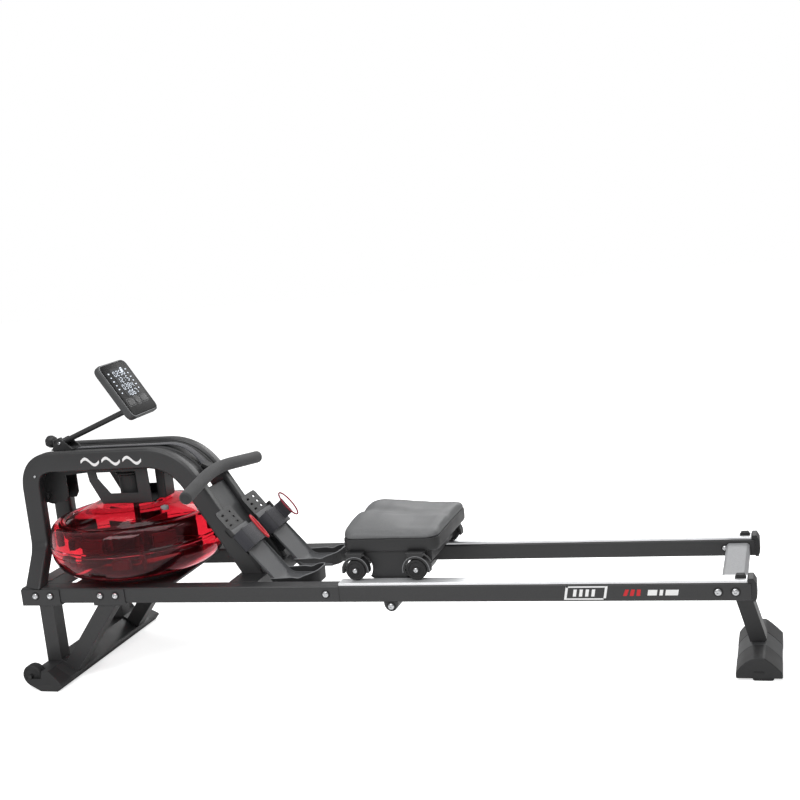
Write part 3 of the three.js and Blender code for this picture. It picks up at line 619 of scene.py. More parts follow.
def circle(radius: float, steps: int = 24) -> Outline:
    """Circle about the origin.

    Args:
        radius: Radius.
        steps: Number of points.

    Returns:
        Its outline.
    """
    angles = (2 * math.pi * k / steps for k in range(steps))
    return [(radius * math.cos(a), radius * math.sin(a)) for a in angles]


def filleted(points: Sequence[Tuple[float, float, float, float]], steps: int = 18) -> List[Vector]:
    """Path of straight runs with rounded corners.

    Args:
        points: x, y, z in millimetres and the length of each corner's tangents.
        steps: Steps in each corner.

    Returns:
        Points of the path in metres.
    """
    spots = [at(*p[:3]) for p in points]
    path = [spots[0]]
    for i in range(1, len(spots) - 1):
        before = (spots[i] - spots[i - 1]).normalized()
        after = (spots[i + 1] - spots[i]).normalized()
        start = spots[i] - before * points[i][3] * MM
        end = spots[i] + after * points[i][3] * MM
        for k in range(steps + 1):
            t = k / steps
            path.append(start * (1 - t) ** 2 + spots[i] * 2 * t * (1 - t) + end * t**2)
    path.append(spots[-1])
    return path


def mirrored(build: Callable[[str, int], None]) -> None:
    """Calls a builder for the left and the right side.

    Args:
        build: Takes the side's name and its sign.
    """
    for side, sign in SIDES:
        build(side, sign)


# ---- sub-assemblies -------------------------------------------------------------------------------


class SubAssembly:
    """One part of the machine."""

    name = "part"

    def build(self) -> None:
        """Makes the pieces."""
        raise NotImplementedError

    def dress(self) -> None:
        """Gives the solids that stay visible their materials."""

    def make(self) -> None:
        """Builds and dresses the part."""
        LOG.info("building %s", self.name)
        self.build()
        self.dress()

    @staticmethod
    def paint(finish: Finish, *nodes: str) -> None:
        """Gives solids a finish.

        Args:
            finish: The finish.
            *nodes: Names of the solids.
        """
        for node in nodes:
            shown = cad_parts[node]
            if not shown.material_slots:
                shown.data.materials.append(None)
            for slot in shown.material_slots:
                slot.material = SHOP.get(finish)

    @staticmethod
    def bolt(
        name: str, spot: Vector, axis: Vector, body: str, radius: float = 8.5, washer: bool = True
    ) -> None:
        """Socket-head bolt with a dark washer.

        Args:
            name: Name of the piece.
            spot: Where its head sits.
            axis: Outward direction.
            body: The body it moves with.
            radius: Radius of the head in millimetres.
            washer: Whether it has a washer.
        """

        def socket(r: float, angle: float) -> float:
            """Turns the inner rings of the head into a hexagon.

            Args:
                r: Radius of the profile.
                angle: Angle round the axis.

            Returns:
                Radius at that angle.
            """
            if r > radius * 0.42:
                return r
            return r / math.cos((angle + math.pi / 6) % (math.pi / 3) - math.pi / 6)

        base = 1.4 if washer else 0.0
        dome = [
            (radius, base),
            (radius, base + 0.9),
            (radius * 0.93, base + 2.2),
            (radius * 0.74, base + 3.3),
            (radius * 0.5, base + 3.7),
            (radius * 0.38, base + 3.7),
            (radius * 0.36, base + 1.2),
        ]
        head = Forge.lathe(name, dome, spot, axis, 36, socket)
        Forge.fit(head, STEEL, body, "handle_steel", angle=40)
        if washer:
            ring = [
                (radius + 3.2, 0),
                (radius + 3.2, 0.9),
                (radius + 2.6, 1.4),
                (radius - 1, 1.4),
                (radius - 1, 0),
            ]
            disc = Forge.lathe(name + "_washer", ring, spot, axis, 32, closed=True)
            Forge.fit(disc, DARK, body, "black_plastic")


@dataclass(frozen=True)
class Slope:
    """A tilted plane that a unit is built on.

    Args:
        x: Origin behind the datum, in millimetres.
        y: Origin to the right.
        z: Origin above the floor.
        tilt: Angle in degrees that the plane falls to the rear.
    """

    x: float
    y: float
    z: float
    tilt: float

    @property
    def down(self) -> Vector:
        """Direction down the plane."""
        return Vector((math.cos(math.radians(self.tilt)), 0, -math.sin(math.radians(self.tilt))))

    @property
    def out(self) -> Vector:
        """Direction out of the plane."""
        return Vector((math.sin(math.radians(self.tilt)), 0, math.cos(math.radians(self.tilt))))

    def spot(self, along: float, side: float, up: float) -> Vector:
        """Point on the unit.

        Args:
            along: Distance down the plane, in millimetres.
            side: Distance to the right.
            up: Distance out of the plane.

        Returns:
            The point in metres.
        """
        return at(self.x, self.y + side, self.z) + (self.down * along + self.out * up) * MM

    def plate(self, name: str, outline: Outline, low: float, high: float) -> bpy.types.Object:
        """Plate parallel to the plane.

        Args:
            name: Name of the piece.
            outline: Outline as distances down the plane and to the right.
            low: Lower face, out of the plane.
            high: Upper face.

        Returns:
            The piece.
        """
        return Forge.loft(name, [[self.spot(a, b, h) for a, b in outline] for h in (low, high)])


def shifted(outline: Outline, x: float, y: float) -> Outline:
    """Outline moved.

    Args:
        outline: Points.
        x: First shift.
        y: Second shift.

    Returns:
        The moved points.
    """
    return [(a + x, b + y) for a, b in outline]


def spline(points: Outline, steps: int = 5) -> Outline:
    """Smooth curve through points.

    Args:
        points: The points.
        steps: Steps between two of them.

    Returns:
        Points of the curve.
    """
    padded = [points[0], *points, points[-1]]
    curve = []
    for i in range(1, len(padded) - 2):
        a, b, c, d = padded[i - 1 : i + 3]
        for k in range(steps):
            t = k / steps
            curve.append(
                tuple(
                    0.5
                    * (
                        2 * b[n]
                        + (c[n] - a[n]) * t
                        + (2 * a[n] - 5 * b[n] + 4 * c[n] - d[n]) * t**2
                        + (3 * b[n] - a[n] - 3 * c[n] + d[n]) * t**3
                    )
                    for n in (0, 1)
                )
            )
    curve.append(points[-1])
    return curve


@dataclass
class RailSet(SubAssembly):
    """Rails, tracks, stops and what joins them."""

    name = "rails"
    outer: float = 197.0
    saddle_outer: float = 199.9
    middle: float = 244.5
    saddle_bolts: Tuple[float, ...] = (14, 61, 219, 266)
    rail_bolts: Tuple[float, ...] = (881, 1869, 1909)

    def build(self) -> None:
        """Makes bolts, printed marks, seams and nuts."""
        mirrored(self._bolts)
        self._decal()
        mirrored(self._sleeve)
        self._inner_nuts()

    def _bolts(self, side: str, sign: int) -> None:
        """Bolts on the outer face of one rail.

        Args:
            side: "left" or "right".
            sign: -1 for the left side, 1 for the right.
        """
        axis = Vector((0, sign, 0))
        for i, x in enumerate(self.saddle_bolts):
            self.bolt(
                f"saddle_bolt_{side}_{i}", at(x, sign * self.saddle_outer, self.middle), axis, "frame", 8.5
            )
        for i, x in enumerate(self.rail_bolts):
            self.bolt(f"rail_bolt_{side}_{i}", at(x, sign * self.outer, self.middle), axis, "frame", 8.5)
        self.bolt(f"lug_bolt_{side}", at(1055, sign * 193, 210), axis, "frame", 8.5)

    def _sleeve(self, side: str, sign: int) -> None:
        """Thin seam where the two halves of the rail meet.

        Args:
            side: "left" or "right".
            sign: -1 for the left side, 1 for the right.
        """
        section = rounded(44.2, 45.2, 5)
        path = [at(x, sign * 174.5, 244) for x in (917.6, 918.9)]
        seam = Forge.sweep(f"rail_seam_{side}", [(a, b) for b, a in section], path, RIGHT)
        Forge.fit(seam, DARK, "frame", "black_plastic")

    def _inner_nuts(self) -> None:
        """Nuts on the inner faces near the rear end."""
        for i, x in enumerate(self.rail_bolts[1:]):
            for side, sign in SIDES:
                axis = Vector((0, -sign, 0))
                self.bolt(f"inner_nut_{side}_{i}", at(x, sign * 152, self.middle), axis, "frame", 6.5)

    def _decal(self) -> None:
        """Printed stripes near the rear end of the left rail: outlined bars, a red arrow and dashes."""
        y = -self.outer - 0.05
        lean = 7
        bars = [
            (1502, 1508, 227, 261),
            (1508, 1604, 257.5, 261),
            (1508, 1604, 227, 230.5),
            (1598, 1604, 227, 261),
        ]
        bars += [(1524 + 15 * i, 1532 + 15 * i, 235, 253) for i in range(4)]
        for i, (x0, x1, z0, z1) in enumerate(bars):
            self._ink(f"rail_stripe_{i}", x0, x1, z0, z1, y, lean, INK)
        for i, x in enumerate((1646, 1662, 1678)):
            self._ink(f"rail_arrow_{i}", x, x + 9, 236, 252, y, 14 - 4 * i, INK_RED)
        for i, (x, w) in enumerate(((1704, 22), (1732, 8), (1746, 30))):
            self._ink(f"rail_dash_{i}", x, x + w, 237, 251, y, lean, INK)

    @staticmethod
    def _ink(
        name: str,
        x0: float,
        x1: float,
        z0: float,
        z1: float,
        y: float,
        lean: float,
        finish: Finish,
    ) -> None:
        """One printed bar with slanting ends.

        Args:
            name: Name of the piece.
            x0: Front end.
            x1: Rear end.
            z0: Lower edge.
            z1: Upper edge.
            y: Face of the rail.
            lean: How far the ends lean over 34 mm.
            finish: Colour of the ink.
        """
        tip = lean * (z1 - z0) / 34
        outline = [(x0, z0), (x1, z0), (x1 + tip, z1), (x0 + tip, z1)]
        mark = Forge.prism(name, outline, y - 0.12, y)
        Forge.round_edges(mark, 0.00004, 1)
        Forge.hang(mark, finish, "frame", "frame_paint")

    def dress(self) -> None:
        """Paints rails, tracks, legs and cross members."""
        for side in ("left", "right"):
            self.paint(PAINT, f"base_rail_{side}", f"slide_rail_{side}", f"leg_frame_{side}")
            self.paint(TRACK, f"track_{side}")
            self.paint(BLACK, f"rail_end_cap_{side}")
            self.paint(RUBBER, f"seat_stop_{side}")
        self.paint(PALE, "front_cross_tube", "rear_cross_plate")
        self.paint(PAINT, "arch_cross_tube", "lower_cross_bar", "rear_leg", "front_foot_tube")
        self.paint(PAINT, "tank_cradle", "tank_bracket")


@dataclass
class Feet(SubAssembly):
    """Front foot's caps and wheels, and the rear foot."""

    name = "feet"
    x: float = 1948.0
    half: float = 54.0
    base: float = 6.0
    crown: float = 56.0
    roller_y: float = 256.0

    def _dome(self, grow: float) -> Outline:
        """Section of the rear foot.

        Args:
            grow: How much larger it is than the middle one, in millimetres.

        Returns:
            Its outline.
        """
        w = self.half + grow
        base = self.base - grow
        shoulder = base + 14
        rear = [(self.x + w, shoulder), (self.x + self.half / 2, 50.0), (self.x + 14, self.crown + grow)]
        front = [(self.x - 8, self.crown + grow), (self.x - self.half / 1.6, 50.0), (self.x - w, shoulder)]
        curve = []
        for a, b, c in (rear, front):
            for k in range(11):
                t = k / 10
                curve.append(
                    tuple(a[n] * (1 - t) ** 2 + 2 * b[n] * t * (1 - t) + c[n] * t**2 for n in (0, 1))
                )
        return [(self.x - w, base), (self.x + w, base)] + curve

    def build(self) -> None:
        """Makes the rear foot and the front wheels."""
        body = Forge.prism("rear_foot_middle", self._dome(0), -46.2, 46.2)
        Forge.fit(body, GREY, "frame", "grey_plastic", ["rear_foot_body"], rounding=0.0012)
        mirrored(self._rear_cap)
        mirrored(self._wheel)

    def _rear_cap(self, side: str, sign: int) -> None:
        """End cap of the rear foot with its pad.

        Args:
            side: "left" or "right".
            sign: -1 for the left side, 1 for the right.
        """
        low, high = sorted((sign * 46.8, sign * 138.4))
        cap = Forge.prism(f"rear_cap_{side}", self._dome(0.8), low, high)
        Forge.fit(cap, BLACK, "frame", "black_plastic", [f"rear_foot_cap_{side}"], rounding=0.0028)
        pad = Forge.prism(
            f"rear_pad_{side}",
            shifted(rounded(50, 44, 8), self.x + 9, sign * 116.5),
            0,
            self.base + 1,
            "XY",
        )
        Forge.fit(pad, RUBBER, "frame", "rubber", rounding=0.0012)
        # Darker strip on the cap's end, where the inside of its slot lies in shade: painted shade.
        slot = Forge.prism(
            f"cap_slot_shade_{side}",
            shifted(rounded(26, 5, 2.4), self.x, 22),
            *sorted((sign * 138.2, sign * 138.9)),
        )
        Forge.fit(slot, DARK, "frame", "black_plastic", rounding=0.0002)

    def _wheel(self, side: str, sign: int) -> None:
        """Transport wheel in the slot of the front cap.

        Args:
            side: "left" or "right".
            sign: -1 for the left side, 1 for the right.
        """
        profile = [(5.3, -14.8), (9, -15), (20, -13.4), (23, -15), (26, -14.6), (29, -12), (30, -9)]
        profile += [(30, -3), (28.6, -1.6), (28.6, 1.6), (30, 3), (30, 9), (29, 12), (26, 14.6), (23, 15)]
        profile += [(20, 13.4), (9, 15), (5.3, 14.8)]
        y = sign * self.roller_y
        wheel = Forge.lathe(f"roller_{side}", profile, at(12, y, 38), RIGHT, 56, closed=True)
        Forge.fit(
            wheel, RUBBER, f"transport_wheel_{side}", "rubber", [f"transport_wheel_{side}"],
            rounding=0.0006, steps=2,
        )

    def dress(self) -> None:
        """Paints the front caps."""
        self.paint(BLACK, "front_foot_cap_left", "front_foot_cap_right")


@dataclass
class Arches(SubAssembly):
    """The two bent tubes, the cover between them and the housing of the front pulley."""

    name = "arches"
    width: float = 33.0
    depth: float = 56.0
    y: float = 71.5
    top: float = 599.0
    bend: float = 434.0
    tilt: float = 30.6
    floor: float = 266.3

    def leg_x(self, z: float, x: float = 0.0, top: float = 0.0) -> float:
        """Middle of the rear leg at a height.

        Args:
            z: The height.
            x: Corner of the path, 0 for that of the tubes.
            top: Height of the path's level run, 0 for that of the tubes.

        Returns:
            Distance behind the datum.
        """
        return (x or self.bend) + ((top or self.top) - z) * math.tan(math.radians(self.tilt))

    def build(self) -> None:
        """Makes tubes, cover, wave marks, screws and strap guide."""
        mirrored(self._tube)
        self._cover()
        self._emblem()
        mirrored(self._screws)
        self._guide()

    def _tube(self, side: str, sign: int) -> None:
        """One bent tube, cut off level above the rail.

        Args:
            side: "left" or "right".
            sign: -1 for the left side, 1 for the right.
        """
        y = sign * self.y
        beyond = 1 + 40 / 84
        path = filleted(
            [
                (-25 + 29 * beyond, y + sign * 101 * beyond, 350 - 84 * beyond, 0),
                (-25, y, 350, 28),
                (-25, y, self.top, 78),
                (self.bend, y, self.top, 92),
                (self.leg_x(226), y, 226, 0),
            ],
            22,
        )
        tube = Forge.sweep(f"arch_tube_{side}", rounded(self.width, self.depth, 7, 5), path, RIGHT)
        shape = bmesh.new()
        shape.from_mesh(tube.data)
        everything = shape.verts[:] + shape.edges[:] + shape.faces[:]
        cut = bmesh.ops.bisect_plane(
            shape,
            geom=everything,
            dist=1e-6,
            plane_co=(0, 0, self.floor * MM),
            plane_no=(0, 0, -1),
            clear_outer=True,
        )
        rim = [e for e in cut["geom_cut"] if isinstance(e, bmesh.types.BMEdge)]
        bmesh.ops.holes_fill(shape, edges=rim, sides=0)
        bmesh.ops.recalc_face_normals(shape, faces=shape.faces)
        shape.to_mesh(tube.data)
        shape.free()
        Forge.fit(tube, PAINT, "frame", "frame_paint", [f"arch_{side}"])

    def _cover(self) -> None:
        """Moulded cover with two raised lips beside the strap."""
        inset = 16
        half = 54.4
        x = self.bend + inset * math.tan(math.radians((90 - self.tilt) / 2))
        top = self.top + inset
        path = filleted([(22, 0, top, 0), (x, 0, top, 100), (self.leg_x(515, x, top), 0, 515, 0)], 26)
        section = [(-half, -5), (-half, 3), (-half + 2, 5), (-half + 8, 5), (-half + 11, 2.2), (-20, 2.2)]
        section += [
            (-18, 4.6),
            (18, 4.6),
            (20, 2.2),
            (half - 11, 2.2),
            (half - 8, 5),
            (half - 2, 5),
            (half, 3),
        ]
        section += [(half, -5)]
        cover = Forge.sweep("cover_shell", section, path, RIGHT)
        Forge.fit(cover, BLACK, "frame", "black_plastic", ["top_cover"], angle=24, rounding=0.0007, steps=2)

    def _emblem(self) -> None:
        """Light wave strokes on the outer face of each tube."""
        for side, sign in SIDES:
            y = sign * (self.y + self.width / 2)
            low, high = sorted((y, y + sign * 0.15))
            for i in range(3):
                upper = []
                lower = []
                for k in range(41):
                    x = 150 + 66 * i + 1.45 * k
                    z = 597 + 9 * math.sin(k / 40 * 2 * math.pi)
                    upper.append((x, z + 4.2))
                    lower.append((x, z - 4.2))
                wave = Forge.prism(f"arch_wave_{side}_{i}", upper + lower[::-1], low, high)
                Forge.round_edges(wave, 0.00004, 1)
                Forge.hang(wave, INK, "frame", "frame_paint")

    def _screws(self, side: str, sign: int) -> None:
        """Front screw and pulley boss of one side.

        Args:
            side: "left" or "right".
            sign: -1 for the left side, 1 for the right.
        """
        y = sign * (self.y + self.width / 2)
        axis = Vector((0, sign, 0))
        self.bolt(f"arch_screw_front_{side}", at(-4, y, 561), axis, "frame", 4, False)
        hub = [(11, 0), (11, 2), (9.5, 3.2), (4, 3.2)]
        cap = Forge.lathe(f"pulley_boss_{side}", hub, at(-2, sign * 54.6, 494), -axis, 36)
        Forge.fit(cap, BLACK, "frame", "black_plastic")

    def _guide(self) -> None:
        """Strap guide behind the tank bracket."""
        guide = Forge.prism(
            "strap_guide", [(342, 472), (366, 472), (369, 480), (369, 562), (363, 570), (342, 570)], -27, 27
        )
        Forge.fit(guide, BLACK, "frame", "black_plastic", rounding=0.003)

    def dress(self) -> None:
        """Paints the panel, the housing and what turns in it."""
        self.paint(GREY, "center_panel")
        self.paint(BLACK, "pulley_housing", "strap_drum", "front_pulley")


@dataclass
class Pull(SubAssembly):
    """Strap, clip and handle."""

    name = "pull"
    half: float = 239.5
    grip: float = 17.5

    def build(self) -> None:
        """Makes the strap and the grip."""
        self._strap()
        self._grip()

    def _strap(self) -> None:
        """Strap that lies on the cover; its last run, between frame and handle, is split into ten short
        steps.
        """
        inset = 16 + 5 + 0.3 + 1.2
        x = 434 + inset * math.tan(math.radians(59.4 / 2))
        top = 599 + inset
        end = x + (top - 562) * math.tan(math.radians(30.6))
        path = filleted([(96, 0, top, 0), (x, 0, top, 66), (end, 0, 562, 0)], 26)
        start, bend = path[-2], path[-1]
        path = path[:-1] + [start.lerp(bend, k / 10) for k in range(1, 11)]
        strap = Forge.sweep("strap_band", rounded(26, 2.4, 1.1, 3), path, RIGHT)
        Forge.smooth(strap, 40)
        strap.data.materials.append(SHOP.get(WEB))
        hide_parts("pull_strap")
        tuple(start)
        tuple(bend)
        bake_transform(strap)

    def _grip(self) -> None:
        """Foam grip over the bent bar, with a plug in each end."""
        ends = [(538.6, 521.0), (515.6, 548.0), (538.6, 521.0)]
        path = filleted(
            [
                (ends[0][0], -self.half, ends[0][1], 0),
                (ends[1][0], 0, ends[1][1], 90),
                (ends[2][0], self.half, ends[2][1], 0),
            ],
            30,
        )
        first, second = path[0], path[1]
        run = (second - first).normalized()
        out = Vector((run.x, -run.y, run.z))
        stations = (0.0, 1.2, 3.2, 6.0)
        near = [first + run * s * MM for s in stations]
        far = [path[-1] + out * s * MM for s in stations]
        points = near + path[1:-1] + far[::-1]
        sizes = [0.74, 0.9, 0.98, 1.0]
        scales = sizes + [1.0] * (len(path) - 2) + sizes[::-1]
        grip = Forge.sweep("grip", circle(self.grip, 40), points, REAR, scales=scales)
        Forge.fit(grip, FOAM, "handle", "grip_foam", ["handle_grip", "handle_bar"], angle=50)
        for side, spot, axis in (("left", near[0], -run), ("right", far[0], -out)):
            plug = Forge.lathe(
                f"grip_plug_{side}", [(12.6, -1), (12.6, 0.5), (11, 1.3), (4, 1.6)], spot, axis, 32
            )
            Forge.fit(plug, BLACK, "handle", "black_plastic")

    def dress(self) -> None:
        """Paints the clip."""
        self.paint(BLACK, "strap_clip")


@dataclass
class Tank(SubAssembly):
    """Clear tinted tank in two halves."""

    name = "tank"
    x: float = 254.0
    vanes: int = 7

    def build(self) -> None:
        """Makes both shells, the filler plug and the vanes."""
        bowl = [(8.6, 280), (150, 280), (180, 280.6)]
        bowl += spline([(180, 280.6), (208, 289), (232, 307), (245.5, 332), (248.6, 352)], 6)[1:]
        bowl += [(251.8, 356.5), (251.8, 364.85), (245.5, 364.85)]
        bowl += spline([(245.2, 350), (242, 333), (228.6, 310), (206, 292.6), (179, 284)], 6)
        bowl += [(150, 283.5), (8.6, 283.5)]
        lower = Forge.lathe("tank_bowl", bowl, at(self.x, 0, 0), steps=112, closed=True)
        Forge.fit(lower, RED, "frame", "tank_red", ["tank_lower_shell"], angle=40)
        dome = [(245.5, 365.15), (251.8, 365.15), (251.8, 373), (248.7, 376)]
        dome += spline(
            [(247.6, 390), (243.5, 411), (236, 424), (224, 431.4), (211, 433.8), (204.4, 430.6)], 6
        )
        dome += [(201.6, 428.4), (198.8, 428.6), (196.4, 430.8), (112.6, 466.4)]
        dome += [(110, 467), (8.6, 467), (8.6, 463.5), (111, 463.5)]
        dome += [(195.4, 427.2), (198.6, 425), (202.6, 425), (206, 427.4)]
        dome += spline([(211.4, 430.3), (222.8, 428), (233.4, 421.6), (240, 409.4), (244, 389)], 6)
        upper = Forge.lathe("tank_dome", dome, at(self.x, 0, 0), steps=112, closed=True)
        Forge.fit(upper, RED, "frame", "tank_red", ["tank_upper_shell"], angle=40)
        self._filler()
        self._baffles()

    def _baffle(
        self, name: str, turn: float, span: float, inner: float, outer: float, z0: float, z1: float
    ) -> None:
        """Curved vane that stands off the tank's wall.

        Args:
            name: Name of the piece.
            turn: Angle of its middle in degrees.
            span: Angle that it covers.
            inner: Inner radius.
            outer: Outer radius.
            z0: Lowest height.
            z1: Highest height.
        """
        angles = [math.radians(turn + span * (k / 10 - 0.5)) for k in range(11)]
        far = [(self.x + outer * math.cos(a), outer * math.sin(a)) for a in angles]
        near = [(self.x + inner * math.cos(a), inner * math.sin(a)) for a in reversed(angles)]
        vane = Forge.prism(name, far + near, z0, z1, "XY")
        Forge.fit(vane, PADDLE, "frame", "black_plastic", rounding=0.004)

    def _baffles(self) -> None:
        """Two rings of vanes, above and below the seam."""
        for i in range(self.vanes):
            turn = 360 * i / self.vanes
            self._baffle(f"upper_baffle_{i}", turn + 8, 17, 212, 231, 371, 409)
            self._baffle(f"lower_baffle_{i}", turn + 27, 13, 205, 226, 322, 352)

    def _filler(self) -> None:
        """Filler plug on the cone, to the rear left, in a pale grey that paints the highlight seen on it."""
        profile = [(11, -6), (11, 3), (9.5, 4.6), (5, 5), (3.6, 6.6), (1.6, 7)]

        def ribbed(r: float, angle: float) -> float:
            """Ribs on the rim of the plug.

            Args:
                r: Radius of the profile.
                angle: Angle round the axis.

            Returns:
                Radius at that angle.
            """
            return r + (0.4 * math.cos(18 * angle) if 9 < r < 12 else 0)

        plug = Forge.lathe("filler_plug", profile, at(self.x + 126, -66, 455), steps=108, shaped=ribbed)
        # Pale grey for the plug's highlight: painted highlight.
        Forge.fit(plug, PALE, "frame", "pale_grey_paint")

    def dress(self) -> None:
        """Paints the impeller."""
        self.paint(PADDLE, "impeller")


@dataclass
class Console(SubAssembly):
    """Display head, its buttons, its arm and the clamp."""

    name = "console"
    slope: Slope = Slope(237, 0, 859, 57.7)
    length: float = 169.0
    half: float = 75.5
    keys: float = 128.0

    def _ring(self, inset: float, up: float) -> List[Vector]:
        """Outline of the head at a depth, with slightly bowed ends.

        Args:
            inset: How far it lies inside the edge, in millimetres.
            up: Height out of the face.

        Returns:
            Points of the outline.
        """
        outline = rounded(self.length - 2 * inset, 2 * (self.half - inset), 22 - inset * 0.6, 7)
        ring = []
        for a, b in outline:
            depth = 9.0 if a > 0 else 6.5
            pull = -depth * (b / self.half) ** 2
            ring.append(self.slope.spot(self.length / 2 + a + math.copysign(pull, a), b, up))
        return ring

    def build(self) -> None:
        """Makes the case, the face, the screen, the buttons and the hinges."""
        rings = [
            self._ring(i, u)
            for i, u in ((12, -24), (6, -23), (2.4, -20), (0.4, -15), (0.2, -6), (0.8, -2.4))
        ]
        rings += [self._ring(i, u) for i, u in ((2.0, -0.8), (3.4, -0.2), (4.6, -0.2), (5.0, -1.4))]
        shell = Forge.loft("console_case", rings)
        Forge.smooth(shell, 38)
        names = ["console_shell", "console_button_center", "console_button_left", "console_button_right"]
        Forge.hang(shell, GREY, "console_head", "grey_plastic", names[:1])
        pane = Forge.loft(
            "console_face", [self._ring(i, u) for i, u in ((5.2, -1.6), (5.2, -0.5), (5.9, -0.1))]
        )
        Forge.fit(pane, FACE, "console_head", "console_gloss", angle=38)
        self._bezel()
        self._screen()
        self._buttons(names[1:])
        self._hinge()

    def _bezel(self) -> None:
        """Thin light line round the face."""
        rings = [self._ring(inset, up) for inset, up in ((3.1, -0.4), (3.1, 0.3), (4.3, 0.3), (4.3, -0.4))]
        line = Forge.loft("console_bezel", rings, closed=True)
        Forge.fit(line, PALE, "console_head", "pale_grey_paint", angle=38)

    def _screen(self) -> None:
        """Dark screen with its figures and marks."""
        panel = self.slope.plate("screen", shifted(rounded(92, 62, 4), 64, 0), -0.15, 0.35)
        Forge.fit(panel, SCREEN, "console_head", "console_gloss", rounding=0.0003, steps=2)
        bars: List[Outline] = []
        for row, digits in enumerate(("0250", "12:5", "0384", "1067")):
            for column, mark in enumerate(digits):
                bars += self._digit(28 + 22 * row, -24 + 15.5 * column, mark)
        bars += [shifted(rounded(3, 11, 0.8, 1), 22 + 4.2 * k, 27 - 1.2 * k) for k in range(4)]
        for side in (-1, 1):
            bars += [shifted(rounded(3.4, 8 - 2 * (k % 2), 1, 1), 30 + 13 * k, side * 47) for k in range(6)]
        self._plates("segments", bars, 0.36, 0.55, SEGMENT)

    def _digit(self, x: float, y: float, mark: str) -> List[Outline]:
        """Bars of one seven-segment figure whose top is up the slope.

        Args:
            x: Top of the figure down the slope.
            y: Its left side.
            mark: The digit, or a colon.

        Returns:
            Outlines of its lit bars.
        """
        lit = {
            "0": "abcdef", "1": "bc", "2": "abged", "3": "abgcd", "4": "fgbc",
            "5": "afgcd", "6": "afgcde", "7": "abc", "8": "abcdefg", ":": "",
        }[mark]
        w, h, t = 9.0, 7.6, 2.2
        places = {
            "a": (0, w / 2, True), "g": (h, w / 2, True), "d": (2 * h, w / 2, True),
            "f": (h / 2, 0, False), "b": (h / 2, w, False),
            "e": (1.5 * h, 0, False), "c": (1.5 * h, w, False),
        }
        bars = []
        for name in lit:
            down, side, flat = places[name]
            size = (t, w - t) if flat else (h - t, t)
            bars.append(shifted(rounded(*size, 0.8, 1), x + down, y + side))
        if mark == ":":
            bars += [shifted(rounded(2.4, 2.4, 1, 2), x + k, y + w / 2) for k in (h / 2, 1.5 * h)]
        return bars

    def _plates(self, name: str, bars: List[Outline], low: float, high: float, finish: Finish) -> None:
        """Many small plates in one piece.

        Args:
            name: Name of the piece.
            bars: Outlines of the plates.
            low: Lower face, out of the plane.
            high: Upper face.
            finish: Its finish.
        """
        points: List[Vector] = []
        faces = []
        for bar in bars:
            base = len(points)
            n = len(bar)
            points += [self.slope.spot(a, b, h) for h in (low, high) for a, b in bar]
            faces.append(tuple(range(base, base + n)))
            faces.append(tuple(range(base + n, base + 2 * n)))
            faces += [(base + k, base + (k + 1) % n, base + n + (k + 1) % n, base + n + k) for k in range(n)]
        piece = Forge.mesh(name, points, faces)
        Forge.fit(piece, finish, "console_head", "console_gloss", angle=30)

    def _buttons(self, solids: Sequence[str]) -> None:
        """Three buttons and the light line round each.

        Args:
            solids: The solids that they replace.
        """
        def key(name: str, outline: Outline, y: float, solid: str) -> None:
            """One button with a soft edge.

            Args:
                name: Name of the piece.
                outline: Its outline about its middle.
                y: Place of its middle to the right.
                solid: The solid it replaces and rides on.
            """
            spots = shifted(outline, self.keys, y)
            middle = (self.keys, y)
            rings = []
            for scale, up in ((1, -1.8), (1, 0.5), (0.95, 1.0), (0.86, 1.2), (0.5, 1.05)):
                shape = [
                    (middle[0] + (a - middle[0]) * scale, middle[1] + (b - middle[1]) * scale)
                    for a, b in spots
                ]
                rings.append([self.slope.spot(a, b, up) for a, b in shape])
            piece = Forge.loft(name, rings)
            Forge.fit(piece, BLACK, solid, "grey_plastic", [solid], angle=40)

        key("key_center", circle(12.8, 40), 0, solids[0])
        key("key_left", rounded(20, 34, 5), -36, solids[1])
        key("key_right", rounded(20, 34, 5), 36, solids[2])
        trims = []
        for outline, y in (
            (circle(14.6, 40), 0),
            (rounded(23.4, 37.4, 6), -36),
            (rounded(23.4, 37.4, 6), 36),
        ):
            trims.append((shifted(outline, self.keys, y), y))
        for i, (outline, y) in enumerate(trims):
            inner = [(self.keys + (a - self.keys) * 0.93, y + (b - y) * 0.955) for a, b in outline]
            rings = []
            for ring, up in ((outline, -0.3), (outline, 0.15), (inner, 0.15), (inner, -0.3)):
                rings.append([self.slope.spot(a, b, up) for a, b in ring])
            trim = Forge.loft(f"key_trim_{i}", rings, closed=True)
            Forge.fit(trim, PALE, "console_head", "pale_grey_paint")

    def _hinge(self) -> None:
        """Screws of the arm's lower hinge and of the head's tilt, and the clamp knob."""
        for side, sign in SIDES:
            axis = Vector((0, sign, 0))
            self.bolt(f"pivot_bolt_{side}", at(50, sign * 24.3, 641), axis, "frame", 5, False)
            self.bolt(f"tilt_bolt_{side}", at(272, sign * 16.3, 724), axis, "console_head", 5, False)

        def lobed(r: float, angle: float) -> float:
            """Shallow lobes on the rim of the knob.

            Args:
                r: Radius of the profile.
                angle: Angle round the axis.

            Returns:
                Radius at that angle.
            """
            return r * (1 + (0.05 * math.cos(6 * angle) if r > 12 else 0))

        profile = [(4.7, 27), (4.7, 15.2), (9, 15), (14.6, 11.5), (17, 6), (17.4, 0), (17, -6), (14.4, -11.4)]
        profile += [(9, -14.6), (3, -15.8)]
        knob = Forge.lathe("knob", profile, at(8, 0, 643), REAR, 72, lobed)
        Forge.fit(knob, BLACK, "clamp_knob", "black_plastic", ["clamp_knob"], angle=44)

    def dress(self) -> None:
        """Paints the bracket and the arm."""
        self.paint(PAINT, "console_bracket", "console_arm")


